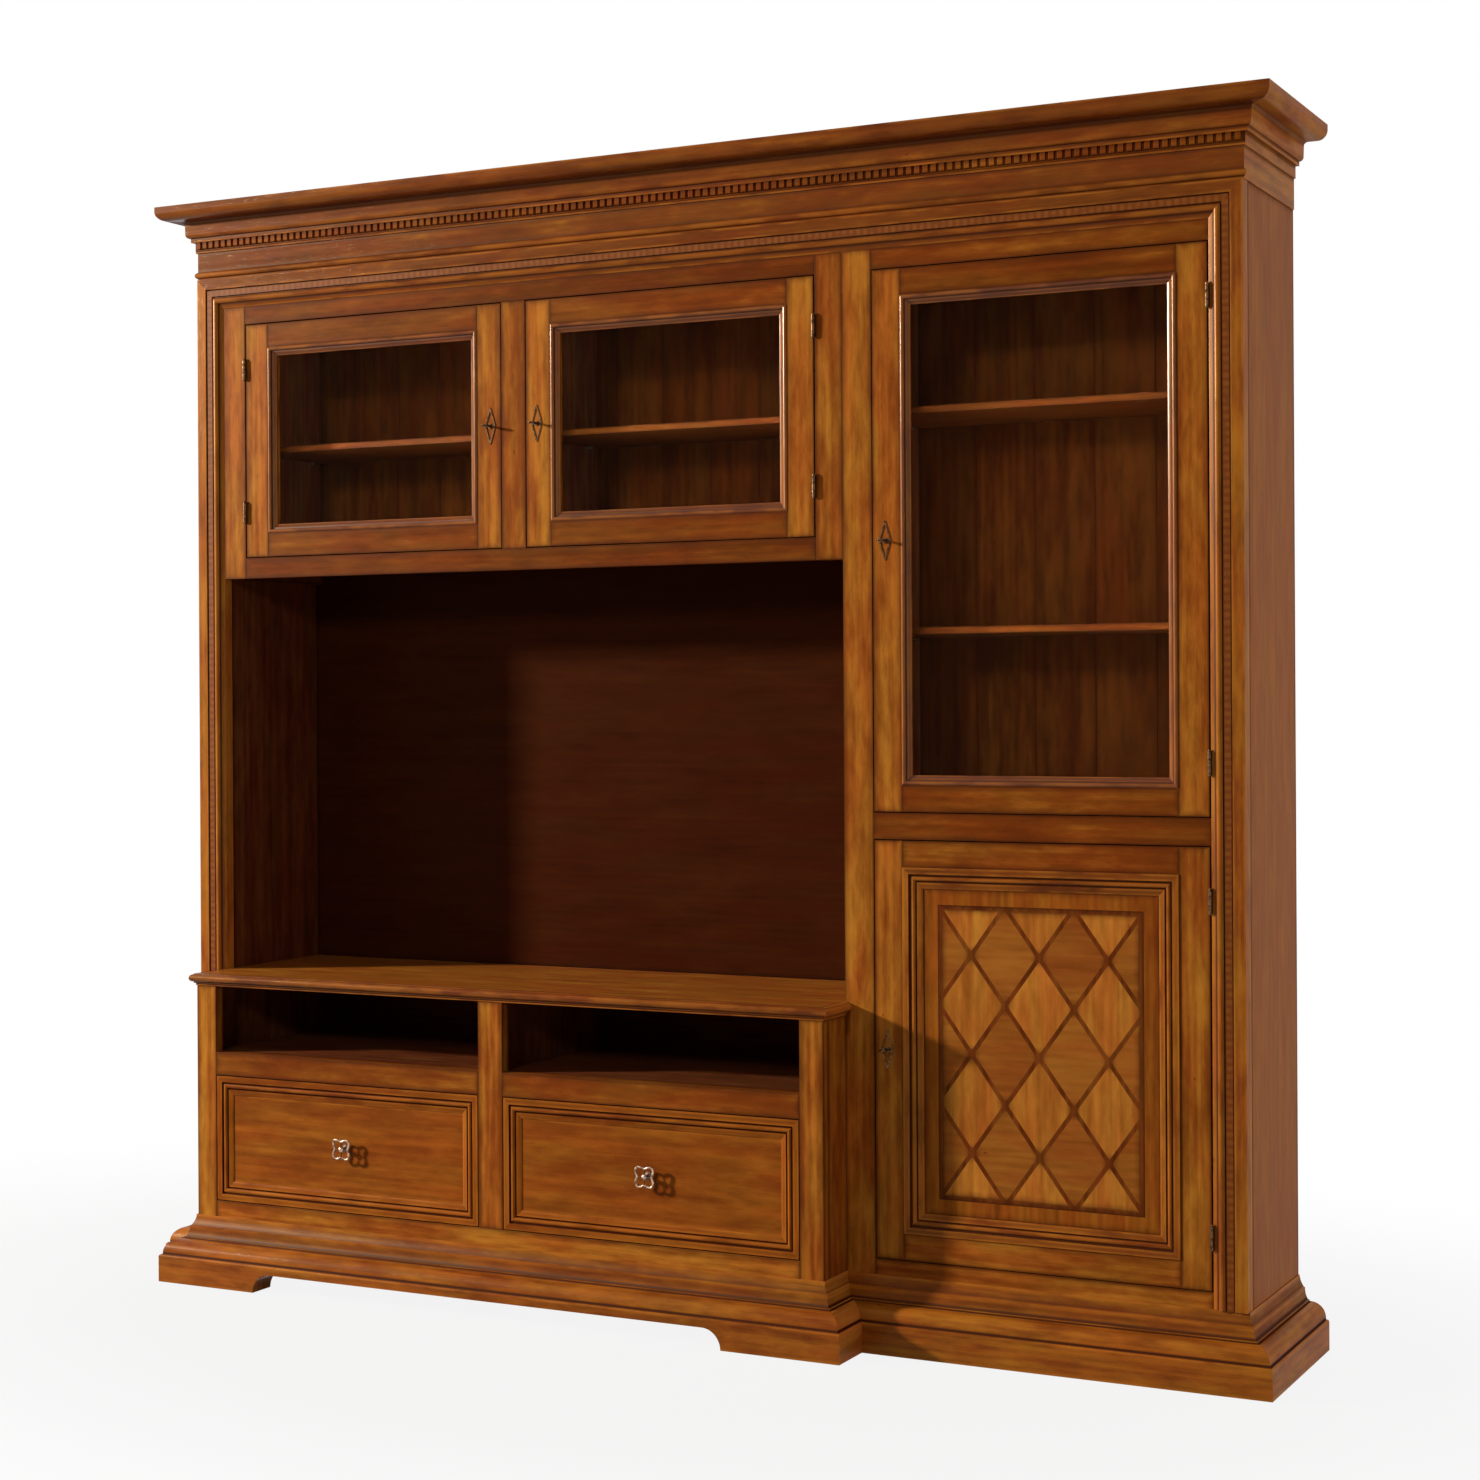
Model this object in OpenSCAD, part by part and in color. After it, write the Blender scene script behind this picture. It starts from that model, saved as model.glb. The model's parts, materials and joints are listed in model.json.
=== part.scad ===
// Wall unit for a living room: a media base with two drawers and two open bays,
// a niche above it, two glazed wall cupboards, and a tower with a glazed door over
// an inlaid panel door. The origin is on the floor, under the middle of the unit.
// X runs along the wall, Y runs back to the wall, Z runs up.

/* [Overall] */
// Height of the whole unit
total_h = 2200; // [2120:1:2400]
// Width between the left end panel and the tower
centre_w = 1420; // [1200:1:1800]
// Width of the tower on the right
tower_w = 755; // [640:1:900]
// Depth of the cupboards from their face to the wall
case_depth = 312; // [290:1:450]
// How far the media base stands forward of the cupboards
base_step = 94; // [70:1:150]

/* [Levels] */
// Height of the plinth moulding
plinth_h = 131; // [125:1:140]
// Visible height of the base cabinet's bottom rail
base_rail_h = 32; // [20:1:60]
// Height of a drawer opening
drawer_open_h = 255; // [200:1:300]
// Height of the rail between drawers and open bays
bay_rail_h = 46; // [30:1:70]
// Height of the open bays
bay_h = 134; // [110:1:180]
// Thickness of the desk top over the base
desk_t = 24; // [22:1:32]
// Height of the rail under the wall cupboards
upper_rail_h = 42; // [30:1:60]
// Height of a wall cupboard's door opening
upper_open_h = 482; // [400:1:560]
// Height of the rail above all upper doors
head_rail_h = 37; // [25:1:60]
// Visible height of the tower's bottom rail
tower_rail_h = 28; // [20:1:60]
// Height of the tower's lower door opening
lower_open_h = 761; // [600:1:820]
// Height of the rail between the tower's doors
mid_rail_h = 48; // [35:1:70]
// Height of the whole cornice
cornice_h = 148; // [148:1:170]

/* [Boards] */
// Thickness of face frames, posts and door frames
frame_t = 22; // [21:0.5:26]
// Thickness of carcass sides and dividers
side_t = 18; // [16:0.5:22]
// Thickness of decks and cornice backing
deck_t = 18; // [16:0.5:22]
// Thickness of shelves
shelf_t = 12.5; // [10:0.5:22]
// Thickness of back panels
back_t = 8; // [5:0.5:10]
// Width of the vertical boards behind the glass doors
back_board_w = 112; // [80:1:160]
// Thickness of a glue line between two boards
glue = 0.1; // [0.05:0.05:0.3]

/* [Face frames] */
// Width of the moulded posts and of the moulded head
surround_w = 62; // [60:1:80]
// Width of the wall cupboards' stiles
upper_stile_w = 55; // [45:1:70]
// Width of the base cabinet's outer stiles
base_stile_w = 48; // [40:1:70]
// Width of the base cabinet's middle stile
base_mid_w = 55; // [40:1:80]
// Width of the tower's left stile
tower_stile_w = 58.5; // [45:0.5:75]
// Height of frame rails hidden behind the plinth
rail_hidden_h = 70; // [50:1:80]

/* [Mouldings] */
// How far the plinth stands out at the floor
plinth_out = 56; // [54:1:70]
// Height of the plinth's plain lower board
plinth_board_h = 55; // [45:1:56]
// Height of the arch cut under the base plinth
arch_h = 38; // [20:1:45]
// Length of the bracket foot from the cabinet's side to the arch
foot_w = 182; // [120:1:300]
// How far the cornice stands out at the top
cornice_out = 64; // [60:1:80]
// Height of the cornice's rounded nose
cornice_nose_h = 28; // [22:1:32]
// Distance from one dentil to the next
dentil_pitch = 16; // [12:0.5:24]
// Width of one dentil
dentil_w = 10; // [6:0.5:11]
// Height of the dentils
dentil_h = 14; // [8:0.5:16]
// How far the desk top's nosing stands out
desk_out = 12; // [10:1:20]
// How far the posts' outer band stands proud of the face
surround_out = 8; // [7:0.5:10]
// Width of the inlaid banding in the posts
banding_w = 13; // [8:0.5:13]
// Depth of the inlaid banding
banding_t = 2; // [1:0.5:3]

/* [Doors] */
// Width of a door's stiles
door_stile_w = 55; // [45:1:70]
// Height of a door's rails
door_rail_h = 48; // [40:1:70]
// Gap at a door's hinge side
hinge_gap = 3; // [3:0.5:4]
// Gap at a door's other three sides
door_clear = 2; // [1.5:0.5:4]
// Width of the moulding round the glass
glass_mould_w = 18; // [16:1:24]
// Thickness of the glass
glass_t = 4; // [3:0.5:5]
// Clearance round the glass and behind the mouldings
glass_clear = 0.3; // [0.2:0.1:0.5]
// Width of the moulding round a wooden panel
panel_mould_w = 38; // [36:1:48]
// How deep a wooden panel lies behind the face
panel_drop = 7; // [6:0.5:8]
// Thickness of the wooden panels
panel_t = 10; // [8:0.5:12]
// Plain margin between the panel moulding and the inlaid field
field_margin = 28; // [15:1:60]
// Number of lozenges across the field and up the field
lozenges = 3; // [2:1:5]
// Width of the inlaid lines
line_w = 8; // [4:0.5:12]
// Thickness of the inlay
inlay_t = 1; // [0.6:0.1:2]

/* [Hinges] */
// Height of a hinge
hinge_h = 40; // [36:1:70]
// Distance from a door's end to the middle of its hinge
hinge_inset = 92; // [60:1:130]
// Radius of the hinge knuckles
knuckle_r = 3.6; // [3:0.1:3.7]
// Radius of the hinge pins
pin_r = 1.6; // [1:0.1:2]
// Radial running clearance of the hinge pins
pin_clear = 0.05; // [0.03:0.01:0.1]
// Thickness of the hinge leaves
leaf_t = 1.2; // [1:0.1:1.2]
// Distance from the face to the hinge axis
axis_out = 4; // [4:0.5:5]
// Depth of the hinge leaves
leaf_d = 18; // [12:1:20]
// Axial gap between the knuckles
knuckle_gap = 0.3; // [0.2:0.1:0.5]

/* [Locks] */
// Distance from a door's closing edge to its key
key_inset = 24; // [20:1:26]
// Height of the lozenge plate round the keyhole
plate_h = 72; // [44:1:80]
// Width of the lozenge plate round the keyhole
plate_w = 24; // [16:1:26]
// Thickness of the lozenge plate
plate_t = 1.5; // [1:0.1:2.5]
// Radius of the key's shank
shank_r = 2.2; // [1.8:0.1:2.6]
// Running clearance of the key in the lock case
shank_clear = 0.06; // [0.03:0.01:0.1]
// Width of the lock case
case_w = 36; // [34:1:44]
// Height of the lock case
case_h = 44; // [36:1:60]
// Depth of the door face in front of the lock case
case_cover = 5; // [4:0.5:6]
// Thickness of the lock case
case_t = 12; // [12:0.5:13]
// Height of the bolt
bolt_h = 12; // [8:1:16]
// Thickness of the bolt
bolt_t = 5; // [4:0.5:5]
// Length of the bolt
bolt_l = 26; // [22:1:27]
// Travel of the bolt
bolt_travel = 7.5; // [5:0.5:8]
// Clearance round the bolt in its case
bolt_clear = 0.3; // [0.2:0.1:0.5]

/* [Drawers] */
// Gap round a drawer front
drawer_clear = 2; // [1.5:0.5:4]
// Thickness of a drawer front
drawer_front_t = 19; // [18:0.5:22]
// Thickness of the drawer box sides
drawer_side_t = 12; // [9:0.5:16]
// Thickness of the drawer bottom
drawer_bottom_t = 6; // [4:0.5:9]
// Height of the drawer box
drawer_box_h = 190; // [120:1:195]
// Space kept behind the drawer box
drawer_back_gap = 20; // [5:1:60]
// Height of the drawer runners
runner_h = 16; // [10:1:25]
// Clearance between drawer and runner
runner_clear = 0.3; // [0.2:0.1:0.5]
// Width of the knob's open flower
knob_w = 42; // [30:1:46]
// Thickness of the knob's open flower
knob_t = 4; // [3:0.5:6]
// Distance from the drawer panel to the front of the knob
knob_out = 20; // [16:1:34]

/* [Shelves] */
// Height of the wall cupboards' shelf above their deck
upper_shelf_z = 221; // [150:1:330]
// Height of the tower's lower glass shelf above its deck
tower_shelf_1_z = 324; // [200:1:400]
// Height of the tower's upper glass shelf above its deck
tower_shelf_2_z = 727; // [500:1:800]
// Height of the lower cupboard's shelf above its deck
cupboard_shelf_z = 380; // [200:1:500]
// Radius of a shelf pin
shelf_pin_r = 2.5; // [2:0.5:3.5]
// Length of a shelf pin outside its bore
shelf_pin_l = 9; // [6:1:12]
// Depth of a shelf pin's bore
shelf_bore_l = 8; // [5:1:10]
// Gap between a shelf's end and the carcass
shelf_clear = 1; // [0.5:0.5:2]
// Distance from the back of the face frame to a shelf's front edge
shelf_setback = 40; // [10:1:60]
// Distance from a shelf pin to the shelf's front or back edge
shelf_pin_inset = 40; // [25:1:70]

/* [Hidden] */
$fn = 48;
far = 4000;
seat = 0.1;
wood = "#965a1e";
dark_wood = "#4a2410";
light_wood = "#b57532";
steel = "#3a322b";
silver = "#a8a39a";

// Steps of the cornice: heights above its foot, and how far each stands out
astragal_z = 10;
frieze_out = 2;
dentil_z = 56;
dentil_root = 5;
dentil_out = 11;
fillet_z = 78;
fillet_out = 12;

// Places along X
end_w = surround_w;
side_out = max(cornice_out, plinth_out);
total_w = end_w + centre_w + tower_w + 2 * side_out;
x_end = side_out - total_w / 2;
x_centre = x_end + end_w;
x_tower = x_centre + centre_w;
x_right = x_tower + tower_w;
x_mid = x_centre + centre_w / 2;
x_post = x_right - surround_w;

// Places along Y
total_d = case_depth + base_step + plinth_out;
y_back = total_d / 2;
y_face = y_back - case_depth;
y_base = y_face - base_step;
y_panel = y_back - back_t;
y_in = y_face + frame_t;
y_base_in = y_base + frame_t;

// Levels along Z
z_drawer = plinth_h + base_rail_h;
z_bay_rail = z_drawer + drawer_open_h;
z_bay = z_bay_rail + bay_rail_h;
z_base_top = z_bay + bay_h;
z_desk = z_base_top + desk_t;
z_case_top = total_h - cornice_h;
z_head = z_case_top - surround_w;
z_open_top = z_head - head_rail_h;
z_upper = z_open_top - upper_open_h;
z_niche_top = z_upper - upper_rail_h;
z_lower = plinth_h + tower_rail_h;
z_lower_top = z_lower + lower_open_h;
z_glass = z_lower_top + mid_rail_h;

// Doors: left end, bottom, width, height, hinged side (-1 left, 1 right)
upper_w = (centre_w - 3 * upper_stile_w) / 2 - hinge_gap - door_clear;
upper_h = upper_open_h - 2 * door_clear;
tower_door_w = tower_w - tower_stile_w - surround_w - hinge_gap - door_clear;
x_tower_door = x_tower + tower_stile_w + door_clear;
upper_left = [x_centre + upper_stile_w + hinge_gap, z_upper + door_clear, upper_w, upper_h, -1];
upper_right = [x_mid + upper_stile_w / 2 + door_clear, z_upper + door_clear, upper_w, upper_h, 1];
glass_door = [x_tower_door, z_glass + door_clear, tower_door_w,
    z_open_top - z_glass - 2 * door_clear, 1];
panel_door = [x_tower_door, z_lower + door_clear, tower_door_w, lower_open_h - 2 * door_clear, 1];
doors = [upper_left, upper_right, glass_door, panel_door];

// Inside a door
glass_y = 12;
panel_in = [door_stile_w + panel_mould_w, door_rail_h + panel_mould_w];
field_at = panel_in + [field_margin, field_margin];
field = [tower_door_w, panel_door[3]] - 2 * field_at;
cell = field / lozenges;

// Inside a lock
case_wall = 1.5;
bolt_y = case_cover + case_t - case_wall - bolt_clear - bolt_t;
bit_y = case_cover + case_wall;
bit_l = 6;
bow_r = 7;
bow_wire_r = 1.4;
bow_y = -19;
strike_depth = 6.5;

// Drawers and bays
bay_w = (centre_w - 2 * base_stile_w - base_mid_w) / 2;
drawer_w = bay_w - 2 * drawer_clear;
drawer_h = drawer_open_h - 2 * drawer_clear;
drawer_xs = [x_centre + base_stile_w + drawer_clear, x_mid + base_mid_w / 2 + drawer_clear];
drawer_box_l = y_panel - drawer_back_gap - y_base - drawer_front_t;

// Centre of the arc of a given rise that curves away from the line a to b
function arc_centre(a, b, rise) =
    let (d = b - a, r = arc_r(a, b, rise))
    (a + b) / 2 + [d.y, -d.x] / norm(d) * (r - rise);

function arc_r(a, b, rise) = (pow(norm(b - a) / 2, 2) + rise * rise) / (2 * rise);

// A rectangular block between two places on each axis
module block(x, y, z) {
    translate([x[0], y[0], z[0]]) cube([x[1] - x[0], y[1] - y[0], z[1] - z[0]]);
}

// A wooden board: a block that leaves room for a glue line on every face
module board(x, y, z) {
    g = [glue / 2, -glue / 2];
    block(x + g, y + g, z + g);
}

// A moulding run along +X on a face that looks to -Y. Its 2-D child is the section:
// x is how far it stands out, y is up. An end is 1 for an outside mitre, -1 for an
// inside mitre and 0 for a square cut.
module run(length, reach, backing, start, stop) {
    a = abs(start) * glue / 2;
    b = length - abs(stop) * glue / 2;
    intersection() {
        translate([-reach, 0, 0]) rotate([90, 0, 90])
            linear_extrude(length + 2 * reach) mirror([1, 0]) children();
        linear_extrude(far) polygon([[a - start * reach, -reach], [b + stop * reach, -reach],
            [b - stop * backing, backing], [a + start * backing, backing]]);
    }
}

// One bar of a picture frame along +X. Its 2-D child is the section: x is forward
// (to -Y), y is the distance in from the frame's outer edge.
module frame_bar(length, reach, start = 1, stop = 1) {
    a = start * glue / 2;
    b = length - stop * glue / 2;
    intersection() {
        rotate([90, 0, 90]) linear_extrude(length) mirror([1, 0]) children();
        translate([0, far / 2, 0]) rotate([90, 0, 0]) linear_extrude(far)
            polygon([[a, 0], [b, 0], [b - stop * reach, reach], [a + start * reach, reach]]);
    }
}

// Four mitred bars round a rectangle w by h, whose lower left corner is the origin
module picture_frame(w, h, reach) {
    frame_bar(w, reach) children();
    translate([w, 0, 0]) rotate([0, -90, 0]) frame_bar(h, reach) children();
    translate([w, 0, h]) rotate([0, 180, 0]) frame_bar(w, reach) children();
    translate([0, 0, h]) rotate([0, 90, 0]) frame_bar(h, reach) children();
}

// A door's own frame: X runs from the hinged edge to the closing edge, Z from its bottom
module at_door(d) {
    if (d[4] < 0) translate([d[0], y_face, d[1]]) children();
    else translate([d[0] + d[2], y_face, d[1]]) mirror([1, 0, 0]) children();
}

// Sections of the mouldings

module plinth_section() {
    step = 6;
    ledge = 3;
    ovolo_r = 27;
    ovolo_at = [plinth_out - step - ovolo_r, plinth_board_h + ledge];
    low_foot = ovolo_at + [-6, ovolo_r + ledge];
    low_head = [ovolo_at.x - 11, (low_foot.y + plinth_h) / 2];
    top_foot = low_head - [2, 0];
    top_head = [2, plinth_h];
    cove_rise = 1.6;
    square([plinth_out, plinth_board_h]);
    square([plinth_out - step, ovolo_at.y]);
    translate(ovolo_at) intersection() {
        circle(ovolo_r);
        square(ovolo_r);
    }
    square([ovolo_at.x - ledge, low_foot.y]);
    difference() {
        polygon([[0, low_foot.y], low_foot, low_head, top_foot, top_head, [0, plinth_h]]);
        hollow(low_foot, low_head, cove_rise);
        hollow(top_foot, top_head, cove_rise);
    }
}

// A disc that cuts a cove of the given rise into the line from a up to b
module hollow(a, b, rise) translate(arc_centre(a, b, rise)) circle(arc_r(a, b, rise));

// Only the run along the front carries the round bead
module cornice_section(beaded) {
    nose_z = cornice_h - cornice_nose_h;
    nose_r = 18;
    cove_r = 8;
    ovolo_r = 8;
    ovolo_out = fillet_out + ovolo_r;
    ovolo_z = fillet_z + 2 * ovolo_r;
    astragal_r = 7;
    b = deck_t;
    translate([-b, 0]) square([b + frieze_out, dentil_z]);
    if (beaded) translate([0, astragal_z]) circle(astragal_r);
    translate([-b, dentil_z]) square([b + dentil_root, fillet_z - dentil_z]);
    translate([-b, fillet_z]) square([b + fillet_out, ovolo_z - fillet_z]);
    translate([fillet_out, ovolo_z]) circle(ovolo_r);
    translate([-b, ovolo_z]) square([b + ovolo_out, nose_z - ovolo_z]);
    difference() {
        translate([-b, nose_z - cove_r]) square([b + ovolo_out + cove_r, cove_r]);
        translate([ovolo_out + cove_r, nose_z - cove_r]) circle(cove_r);
    }
    translate([-b, nose_z]) square([b + cornice_out - nose_r, nose_r]);
    difference() {
        translate([cornice_out - nose_r, nose_z + nose_r]) circle(nose_r);
        translate([cornice_out - 2 * nose_r - 1, nose_z + nose_r + 1]) square([2 * nose_r + 2, nose_r]);
    }
    translate([-b, nose_z + nose_r]) square([b + cornice_out, cornice_nose_h - nose_r]);
}

module nosing_section() {
    nose_r = 7.5;
    cove_r = 5;
    translate([0, cove_r]) square([desk_out - nose_r, desk_t - cove_r]);
    translate([desk_out - nose_r, desk_t - nose_r - 1.5]) circle(nose_r);
    difference() {
        square([cove_r, cove_r]);
        translate([cove_r, 0]) circle(cove_r);
    }
    square([1.5, desk_t]);
}

// Steps of the moulded posts and head: plain outer band, groove, and the banding's bed
band_w = 22;
groove = 2;
inlay_at = band_w + groove;
inlay_out = surround_out - 2;

// Section of the moulded posts and head: x forward, y in from the outer edge
module surround_section() {
    bead_r = 6.5;
    bead_at = inlay_at + banding_w + groove + bead_r;
    difference() {
        union() {
            translate([-frame_t, 0]) square([frame_t + surround_out, band_w]);
            translate([-frame_t, band_w]) square([frame_t + surround_out - 4, groove]);
            translate([-frame_t, inlay_at]) square([frame_t + inlay_out, banding_w]);
            translate([-frame_t, inlay_at + banding_w]) square([frame_t + 3, bead_at - inlay_at]);
            translate([2.5, bead_at]) circle(bead_r);
            translate([-frame_t, 0]) square([frame_t, surround_w]);
            polygon([[0, bead_at], [4, bead_at + bead_r - 1], [0.2, surround_w], [0, surround_w]]);
        }
        translate([inlay_out - banding_t, inlay_at]) square([banding_t + 1, banding_w]);
    }
}

module banding_section() {
    translate([inlay_out - banding_t, inlay_at]) square([banding_t, banding_w]);
}

// Section round a wooden panel: x forward from the door or drawer face, y inward
module panel_mould_section(back, lift) {
    rim_w = 12;
    gap = 2.5;
    bead_r = 5;
    bead_at = rim_w + gap + bead_r;
    ogee_at = bead_at + bead_r + gap;
    translate([-back, 0]) square([back + lift, rim_w]);
    translate([-back, 0]) square([back - panel_drop + 1, panel_mould_w]);
    translate([-back, rim_w]) square([back - 3.5, gap + bead_r]);
    translate([-bead_r - 0.5, bead_at]) circle(bead_r);
    polygon([[-panel_drop, ogee_at], [-3, ogee_at], [-4, ogee_at + 3],
        [1 - panel_drop, panel_mould_w], [-panel_drop, panel_mould_w]]);
}

// Section round the glass: x forward from the door face, y inward
module glass_mould_section() {
    bead_r = 4;
    groove_at = 2 * bead_r;
    translate([-glass_y, 0]) square([glass_y, groove_at]);
    translate([-1.5, bead_r]) circle(bead_r);
    polygon([[-glass_y, 0], [-3, groove_at], [-1, groove_at + 2], [-7, glass_mould_w],
        [-glass_y, glass_mould_w]]);
}

// The fixed cabinets

module left_end() color(wood) {
    skins = [[x_end, x_end + side_t], [x_centre - side_t, x_centre]];
    rib_h = 60;
    for (x = skins) board(x, [y_in, y_back], [0, z_case_top]);
    core = [skins[0][1], skins[1][0]];
    for (z = [0, z_desk, z_case_top - rib_h])
        board(core, [y_in, y_back - side_t], [z, z + rib_h]);
    board(core, [y_back - side_t, y_back], [0, z_case_top]);
    board([x_end, x_centre], [y_face, y_in], [0, plinth_h]);
}

// Bores for the pins of one shelf in the boards at its two ends
module pin_bores(x, y, z) {
    for (end = [0, 1], at_y = [y[0] + shelf_pin_inset, y[1] - shelf_pin_inset])
        translate([x[end], at_y, z - shelf_pin_r - seat])
            rotate([0, end ? 90 : -90, 0]) cylinder(h = shelf_bore_l, r = shelf_pin_r);
}

// Each shelf bay: ends along X, front and back along Y, underside of the shelf
tower_x = [x_tower + side_t, x_right - side_t];
upper_x = [[x_centre + side_t, x_mid - side_t / 2], [x_mid + side_t / 2, x_tower - side_t]];
shelf_y = [y_in + shelf_setback, y_panel - 1];
shelf_bays = [
    [tower_x, shelf_y, z_glass + tower_shelf_1_z],
    [tower_x, shelf_y, z_glass + tower_shelf_2_z],
    [tower_x, shelf_y, z_lower + cupboard_shelf_z],
    [upper_x[0], shelf_y, z_upper + upper_shelf_z],
    [upper_x[1], shelf_y, z_upper + upper_shelf_z]];

module all_pin_bores() {
    for (s = shelf_bays) pin_bores(s[0], s[1], s[2]);
}

module tower_carcass() color(wood) {
    difference() {
        board([x_tower, tower_x[0]], [y_in, y_back], [0, z_case_top]);
        all_pin_bores();
    }
    difference() {
        board([tower_x[1], x_right], [y_in, y_back], [0, z_case_top]);
        all_pin_bores();
    }
    for (top = [z_lower, z_glass, z_open_top + deck_t])
        board(tower_x, [y_in, y_panel], [top - deck_t, top]);
}

module tower_frame() color(wood) {
    stile = [x_tower, x_tower + tower_stile_w];
    rail = [stile[1], x_post];
    difference() {
        board(stile, [y_face, y_in], [0, z_head]);
        for (d = [glass_door, panel_door]) at_door(d) strike_pocket(d);
    }
    board(rail, [y_face, y_in], [plinth_h - rail_hidden_h, z_lower]);
    board(rail, [y_face, y_in], [z_lower_top, z_glass]);
    board(rail, [y_face, y_in], [z_open_top, z_head]);
    board([x_post, x_right], [y_face, y_in], [0, plinth_h]);
}

module upper_carcass() color(wood) {
    inner = [upper_x[0][0], upper_x[1][1]];
    difference() {
        union() {
            board([x_centre, inner[0]], [y_in, y_panel], [z_niche_top, z_case_top]);
            board([inner[1], x_tower], [y_in, y_panel], [z_niche_top, z_case_top]);
            board([upper_x[0][1], upper_x[1][0]], [y_in, y_panel], [z_upper, z_open_top]);
        }
        all_pin_bores();
    }
    for (top = [z_upper, z_open_top + deck_t])
        board(inner, [y_in, y_panel], [top - deck_t, top]);
}

module upper_frame() color(wood) {
    difference() {
        for (x = [x_centre, x_mid - upper_stile_w / 2, x_tower - upper_stile_w]) {
            outer = x != x_mid - upper_stile_w / 2;
            board([x, x + upper_stile_w], [y_face, y_in],
                [outer ? z_niche_top : z_upper, outer ? z_head : z_open_top]);
        }
        for (d = [upper_left, upper_right]) at_door(d) strike_pocket(d);
    }
    for (z = [[z_niche_top, z_upper], [z_open_top, z_head]])
        board([x_centre + upper_stile_w, x_tower - upper_stile_w], [y_face, y_in], z);
}

module base_carcass() color(wood) {
    in_x = [x_centre + side_t, x_mid - side_t / 2, x_mid + side_t / 2, x_tower - side_t];
    board([x_centre, in_x[0]], [y_base_in, y_back], [0, z_base_top]);
    board([in_x[3], x_tower], [y_base_in, y_back], [0, z_base_top]);
    board([in_x[1], in_x[2]], [y_base_in, y_panel], [z_drawer, z_base_top]);
    board([in_x[0], in_x[3]], [y_base_in, y_panel], [z_drawer - deck_t, z_drawer]);
    for (i = [0, 2]) board([in_x[i], in_x[i + 1]], [y_base_in, y_panel], [z_bay - deck_t, z_bay]);
}

module base_frame() color(wood) {
    low = plinth_h - rail_hidden_h;
    for (x = [x_centre, x_tower - base_stile_w])
        board([x, x + base_stile_w], [y_base, y_base_in], [0, z_base_top]);
    board([x_mid - base_mid_w / 2, x_mid + base_mid_w / 2], [y_base, y_base_in],
        [z_drawer, z_base_top]);
    board([x_centre + base_stile_w, x_tower - base_stile_w], [y_base, y_base_in], [low, z_drawer]);
    for (x = [x_centre + base_stile_w, x_mid + base_mid_w / 2])
        board([x, x + bay_w], [y_base, y_base_in], [z_bay_rail, z_bay]);
}

module back_panels() color(dark_wood) {
    board(tower_x, [y_panel, y_back], [0, z_glass - deck_t]);
    board([x_centre, x_tower], [y_panel, y_back], [z_desk, z_upper - deck_t]);
    board([x_centre + side_t, x_tower - side_t], [y_panel, y_back],
        [z_drawer - deck_t, z_base_top]);
}

// Upright boards between x[0] and x[1], all of one width and glued side by side
module boarding(x, z) {
    count = round((x[1] - x[0]) / back_board_w);
    step = (x[1] - x[0]) / count;
    for (i = [0 : count - 1])
        board([x[0] + i * step, x[0] + (i + 1) * step], [y_panel, y_back], z);
}

module back_boards() color(dark_wood) {
    boarding(tower_x, [z_glass - deck_t, z_case_top]);
    boarding([x_centre, x_tower], [z_upper - deck_t, z_case_top]);
}

module desk_top() color(wood) {
    board([x_centre, x_tower], [y_base, y_back], [z_base_top, z_desk]);
}

module desk_nosing() color(wood) translate([0, 0, z_base_top]) {
    translate([x_centre, y_base, 0]) run(centre_w, desk_out, 0, 1, 1) nosing_section();
    translate([x_tower, y_base, 0]) rotate(90) run(base_step, desk_out, 0, 1, 0) nosing_section();
    difference() {
        translate([x_centre, y_face, 0]) rotate(-90)
            run(base_step, desk_out, 0, 0, 1) nosing_section();
        translate([0, 0, -z_base_top]) surround();
    }
}

// Left post, head and right post, mitred at the two upper corners
module surround_bars() {
    w = x_right - x_end;
    h = z_case_top - plinth_h;
    translate([x_end, y_face, plinth_h]) {
        translate([w, 0, 0]) rotate([0, -90, 0]) frame_bar(h, surround_w, 0, 1) children();
        translate([w, 0, h]) rotate([0, 180, 0]) frame_bar(w, surround_w) children();
        translate([0, 0, h]) rotate([0, 90, 0]) frame_bar(h, surround_w, 1, 0) children();
    }
}

module surround() color(wood) surround_bars() surround_section();

module surround_inlay() color(light_wood) surround_bars() banding_section();

module cornice() color(wood) translate([0, 0, z_case_top]) {
    w = x_right - x_end;
    translate([x_end, y_face, 0]) run(w, cornice_out, deck_t, 1, 1) cornice_section(true);
    translate([x_right, y_face, 0]) rotate(90)
        run(case_depth, cornice_out, deck_t, 1, 0) cornice_section(false);
    translate([x_end, y_back, 0]) rotate(-90)
        run(case_depth, cornice_out, deck_t, 0, 1) cornice_section(false);
}

module dentils() color(wood) {
    strip_t = 1;
    margin = 4;
    face_out = dentil_root + strip_t;
    w = x_right - x_end + 2 * dentil_root;
    count = floor(w / dentil_pitch);
    start = -((count - 1) * dentil_pitch + dentil_w) / 2;
    translate([0, y_face, z_case_top + fillet_z]) {
        block([-w / 2, w / 2], [-face_out, -dentil_root], [-margin - dentil_h, 0]);
        for (x = [start : dentil_pitch : -start - 1])
            block([x, x + dentil_w], [-dentil_out, -face_out], [-dentil_h, 0]);
    }
}

module cornice_board() color(wood)
    board([x_end + deck_t, x_right - deck_t], [y_face + deck_t, y_back],
        [z_case_top, z_case_top + deck_t]);

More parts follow.
